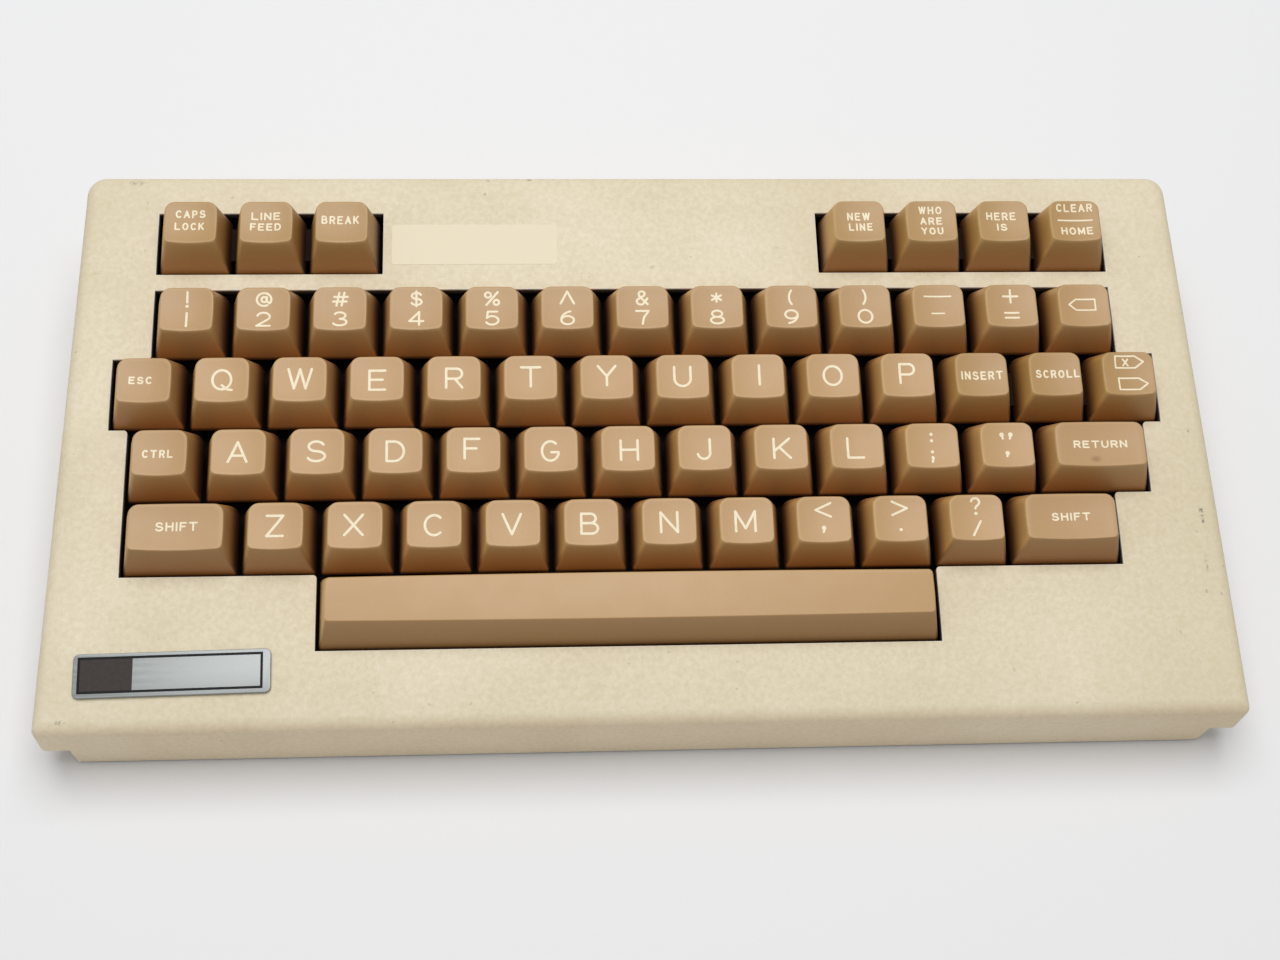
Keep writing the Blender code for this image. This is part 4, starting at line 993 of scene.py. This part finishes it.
def spot(tree, place, centre, half):
    """One near a centre, which falls to nought past these half sizes."""
    local = add_node(tree, "Mapping", {
        "Vector": place, "Location": [-c / h for c, h in zip(centre, half)],
        "Scale": [1 / h for h in half]})
    far = add_node(tree, "VectorMath", {0: local.outputs["Vector"]}, operation="LENGTH")
    return span(tree, far.outputs["Value"], *SPOT_SHARES)


def openings(tree, place):
    """Shares for the painted highlight on the rims of the key openings and for the painted shade on
    their walls, below the case's top.
    """
    boxes = [plane_box(node) for node in KEY_NODES]
    split = in_key_plane(tree, place)
    found = [span(tree, split["Z"], TOP - RIM_START, TOP - RIM_FULL),
             span(tree, split["Z"], TOP - WALL_SHADE_TOP, TOP - WALL_SHADE_FULL)]
    bounds = [math_node(tree, "GREATER_THAN", split["Z"], TOP - WALL_DEPTH)]
    for axis, name in enumerate("XY"):
        low = min(box[0][axis] for box in boxes) - WALL_SHADE_REACH
        high = max(box[1][axis] for box in boxes) + WALL_SHADE_REACH
        bounds.append(math_node(tree, "COMPARE", split[name], (low + high) / 2, (high - low) / 2))
    for bound in bounds:
        found = [math_node(tree, "MULTIPLY", share, bound) for share in found]
    return found


def case_plastic():
    made, tree, shader = new_material("beige_case_plastic")
    place = object_place(tree)
    colour = blend(tree, grained(tree, place, CASE_PATCHES), CASE_BEIGE, CASE_PALE)
    colour = blend(tree, grained(tree, place, CASE_YELLOWING), colour, CASE_YELLOWED)
    # Painted light: faces turned forward are warmed and brightened
    forward = span(tree, facing(tree)["Y"], *FRONT_WALL_TURN)
    colour = blend(tree, forward, colour, FRONT_PAINTED_WARM_LIGHT, "MULTIPLY")
    grain = noise(tree, place, CASE_GRAIN)
    colour = blend(tree, bearing(tree, grain, CASE_GRAIN), colour, CASE_YELLOWED, "MULTIPLY")
    marks = [grained(tree, place, CASE_SPECKS)]
    torn = grained(tree, place, SCUFF_GRAIN)
    for *tenths, depth in SCUFFS:
        x, y, half_x, half_y = (TENTH * value for value in tenths)
        near = spot(tree, place, (x, y, SCUFF_MIDDLE), (half_x, half_y, SCUFF_RISE))
        mark = math_node(tree, "MULTIPLY", near, torn)
        marks.append(math_node(tree, "MULTIPLY", mark, depth))
    for mark in marks:
        colour = blend(tree, mark, colour, SCUFF_GREY)
    rims, walls = openings(tree, place)
    # A painted highlight on the rims of the openings
    colour = blend(tree, rims, colour, RIM_PAINTED_HIGHLIGHT)
    # Painted shade on the walls of the openings
    colour = blend(tree, walls, colour, WALL_SHADE, "MULTIPLY")
    waves = bump(tree, noise(tree, place, CASE_WAVES), *CASE_WAVE_BUMP)
    connect(tree, shader, colour, span(tree, grain, *ROUGH_VALUES, *CASE_ROUGH),
            bump(tree, grain, *CASE_BUMP, waves))
    return made


def cap_plastic(name, tan, dark, shade=KEY_SHADE, flank_shade=FLANK_SHADE, front_shade=None,
                smudge=None):
    """The plastic of a cap, whose origin is level with the case's top, with painted shade and light
    on its skirt and flanks.
    """
    made, tree, shader = new_material(name)
    place = object_place(tree)
    height = add_node(tree, "SeparateXYZ", {"Vector": place}).outputs["Z"]
    turned = facing(tree)
    sideways = span(tree, math_node(tree, "ABSOLUTE", turned["X"]), *FLANK_TURN)
    low_down = span(tree, height, FLANK_HIGH, FLANK_LOW, smooth=True)
    grain = noise(tree, place, KEY_GRAIN)
    # Painted shade and light: darker down the skirt, lighter on left flanks, dimmer on right ones,
    # dark low on the flanks and below the case's top
    shades = [(span(tree, height, CAP_HIGH.z - TOP, -CAP_SKIRT_DROP), shade),
              (span(tree, turned["X"], *(-turn for turn in FLANK_TURN)), LEFT_LIT),
              (span(tree, turned["X"], *FLANK_TURN), RIGHT_DIM),
              (math_node(tree, "MULTIPLY", sideways, low_down), flank_shade),
              (span(tree, height, WELL_HIGH, WELL_LOW, smooth=True), WELL_SHADE)]
    # Painted shade on the fronts that have the pale case before them
    if front_shade:
        shades.append((span(tree, turned["Y"], *FRONT_TURN), front_shade))
    shades.append((bearing(tree, grain, KEY_GRAIN), dark))
    if smudge:
        shades.append((spot(tree, place, *smudge), SMUDGE_SHADE))
    colour = blend(tree, grained(tree, place, KEY_PATCHES), tan, dark)
    for share, tint in shades:
        colour = blend(tree, share, colour, tint, "MULTIPLY")
    grease = noise(tree, place, KEY_GREASE)
    connect(tree, shader, colour, span(tree, grease, KEY_GREASE.low, KEY_GREASE.high, *KEY_ROUGH),
            bump(tree, grain, *KEY_BUMP), KEY_SHINE)
    return made


def plastic_of(node):
    """The name of a key's plastic."""
    if node == "space_bar":
        return "tan_bar_plastic"
    if node == "key_return":
        return "rubbed_tan_key_plastic"
    if node in BANK_COUNTS:
        return "dark_tan_key_plastic"
    tone = "tan" if node in LETTER_KEYS else "mid_tan"
    return tone + ("_corner_key_plastic" if node in CORNER_KEYS else "_key_plastic")


def legend_plastic():
    made, tree, shader = new_material("cream_legend_plastic")
    worn = grained(tree, object_place(tree), LEGEND_WEAR)
    set_inputs(tree, shader, {"Base Color": blend(tree, worn, LEGEND_CREAM, KEY_TAN),
                              "Roughness": LEGEND_ROUGHNESS})
    return made


def plain_finish(name):
    """A metal, paint or plain plastic, with a grain a little paler than itself."""
    kind = PLAIN_FINISHES[name]
    made, tree, shader = new_material(name)
    place = add_node(tree, "Mapping", {"Vector": object_place(tree), "Scale": kind.drawn})
    grain = noise(tree, place.outputs["Vector"], PLAIN_GRAIN._replace(scale=kind.scale))
    pale = tuple(channel * (1 + kind.spread) for channel in kind.colour)
    connect(tree, shader, blend(tree, bearing(tree, grain, PLAIN_GRAIN), kind.colour, pale),
            span(tree, grain, *ROUGH_VALUES, *kind.rough), bump(tree, grain, *kind.bump),
            kind.shine, kind.metallic)
    return made


def board_and_housings(name):
    """Green below the board's top and black above it, where the housings stand."""
    made, tree, shader = new_material(name)
    place = object_place(tree)
    board_top = plane_box("switch_board")[0].z + BOARD_THICKNESS
    upper = math_node(tree, "GREATER_THAN", in_key_plane(tree, place)["Z"], board_top + WELD)
    grain = noise(tree, place, BOARD_GRAIN)
    green = blend(tree, bearing(tree, grain, BOARD_GRAIN), BOARD_GREEN, HOUSING_BLACK)
    connect(tree, shader, blend(tree, upper, green, HOUSING_BLACK),
            span(tree, grain, *ROUGH_VALUES, *BOARD_ROUGH), bump(tree, grain, *BOARD_BUMP),
            HOUSING_SHINE)
    return made


def dress(node, finish):
    """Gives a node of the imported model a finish."""
    slots = NODES[node].data.materials
    slots.clear()
    slots.append(finish)


# Stage

def stage_floor():
    bm = bmesh.new()
    bmesh.ops.create_grid(bm, x_segments=1, y_segments=1, size=FLOOR_SIZE / 2)
    mesh = bpy.data.meshes.new("floor")
    bm.to_mesh(mesh)
    bm.free()
    floor = new_object("floor", mesh)
    made, tree, shader = new_material("pale_floor")
    set_inputs(tree, shader, {"Base Color": FLOOR_COLOUR, "Roughness": FLOOR_ROUGHNESS})
    mesh.materials.append(made)


def sky():
    """Even light, which the camera sees as the pale backdrop."""
    world = bpy.data.worlds.new("studio")
    bpy.context.scene.world = world
    world.use_nodes = True
    tree = world.node_tree
    tree.nodes.clear()
    seen = add_node(tree, "LightPath", {}).outputs["Is Camera Ray"]
    light, backdrop = (
        add_node(tree, "Background", {"Color": SKY_COLOUR, "Strength": strength}).outputs[0]
        for strength in (SKY_STRENGTH, SKY_SEEN))
    mixed = add_node(tree, "MixShader", {0: seen, 1: light, 2: backdrop}).outputs[0]
    add_node(tree, "OutputWorld", {"Surface": mixed})


def softbox():
    data = bpy.data.lights.new("softbox", "AREA")
    data.size = LAMP_WIDTH
    data.energy = LAMP_WATTS
    lamp = new_object("softbox", data)
    lamp.location = LAMP_PLACE
    lamp.rotation_euler = (-Vector(LAMP_PLACE)).to_track_quat("-Z", "Y").to_euler()


def camera():
    data = bpy.data.cameras.new("camera")
    data.sensor_width = SENSOR_WIDTH
    data.lens = CAMERA_LENS
    made = new_object("camera", data)
    made.location = CAMERA_PLACE
    look = (Vector(CAMERA_AIM) - Vector(CAMERA_PLACE)).to_track_quat("-Z", "Y")
    roll = Quaternion((0, 0, 1), CAMERA_ROLL)
    made.rotation_euler = (look @ roll).to_euler()
    bpy.context.scene.camera = made


camera()
sky()
softbox()
stage_floor()
bpy.context.scene.view_settings.view_transform = "Standard"

case_finish = case_plastic()
rounded_piece("upper_case", "upper_case_shell", OPENING_RIM, case_finish, on_top)
rounded_piece("lower_case", "lower_case_shell", FOOT_ROUND, case_finish, on_foot)
name_plate(plain_finish("nameplate_aluminium"), plain_finish("printed_black"),
           plain_finish("printed_dark_panel"))
film_label(plain_finish("film_label"))
screws(plain_finish("screw_steel"))

key_finishes = {name: cap_plastic(name, tan, dark, **shades)
                for name, (tan, dark, shades) in KEY_PLASTICS.items()}
# The links are near black as painted shade
link_finish = plain_finish("link_painted_shade_plastic")
cream = legend_plastic()
for node in KEY_NODES:
    cap = key_cap(node, key_finishes[plastic_of(node)], link_finish)
    legends(node, cap, cream)

# The plate is black steel, darkened further as painted shade
dress("mounting_plate", plain_finish("blacked_plate_steel_and_painted_shade"))
dress("switch_board", board_and_housings("board_and_housings"))
rounded_piece("cord_socket", "cord_socket_shell", SOCKET_ROUND, plain_finish("socket_black"))
dress("space_bar_stabiliser", plain_finish("wire_steel"))
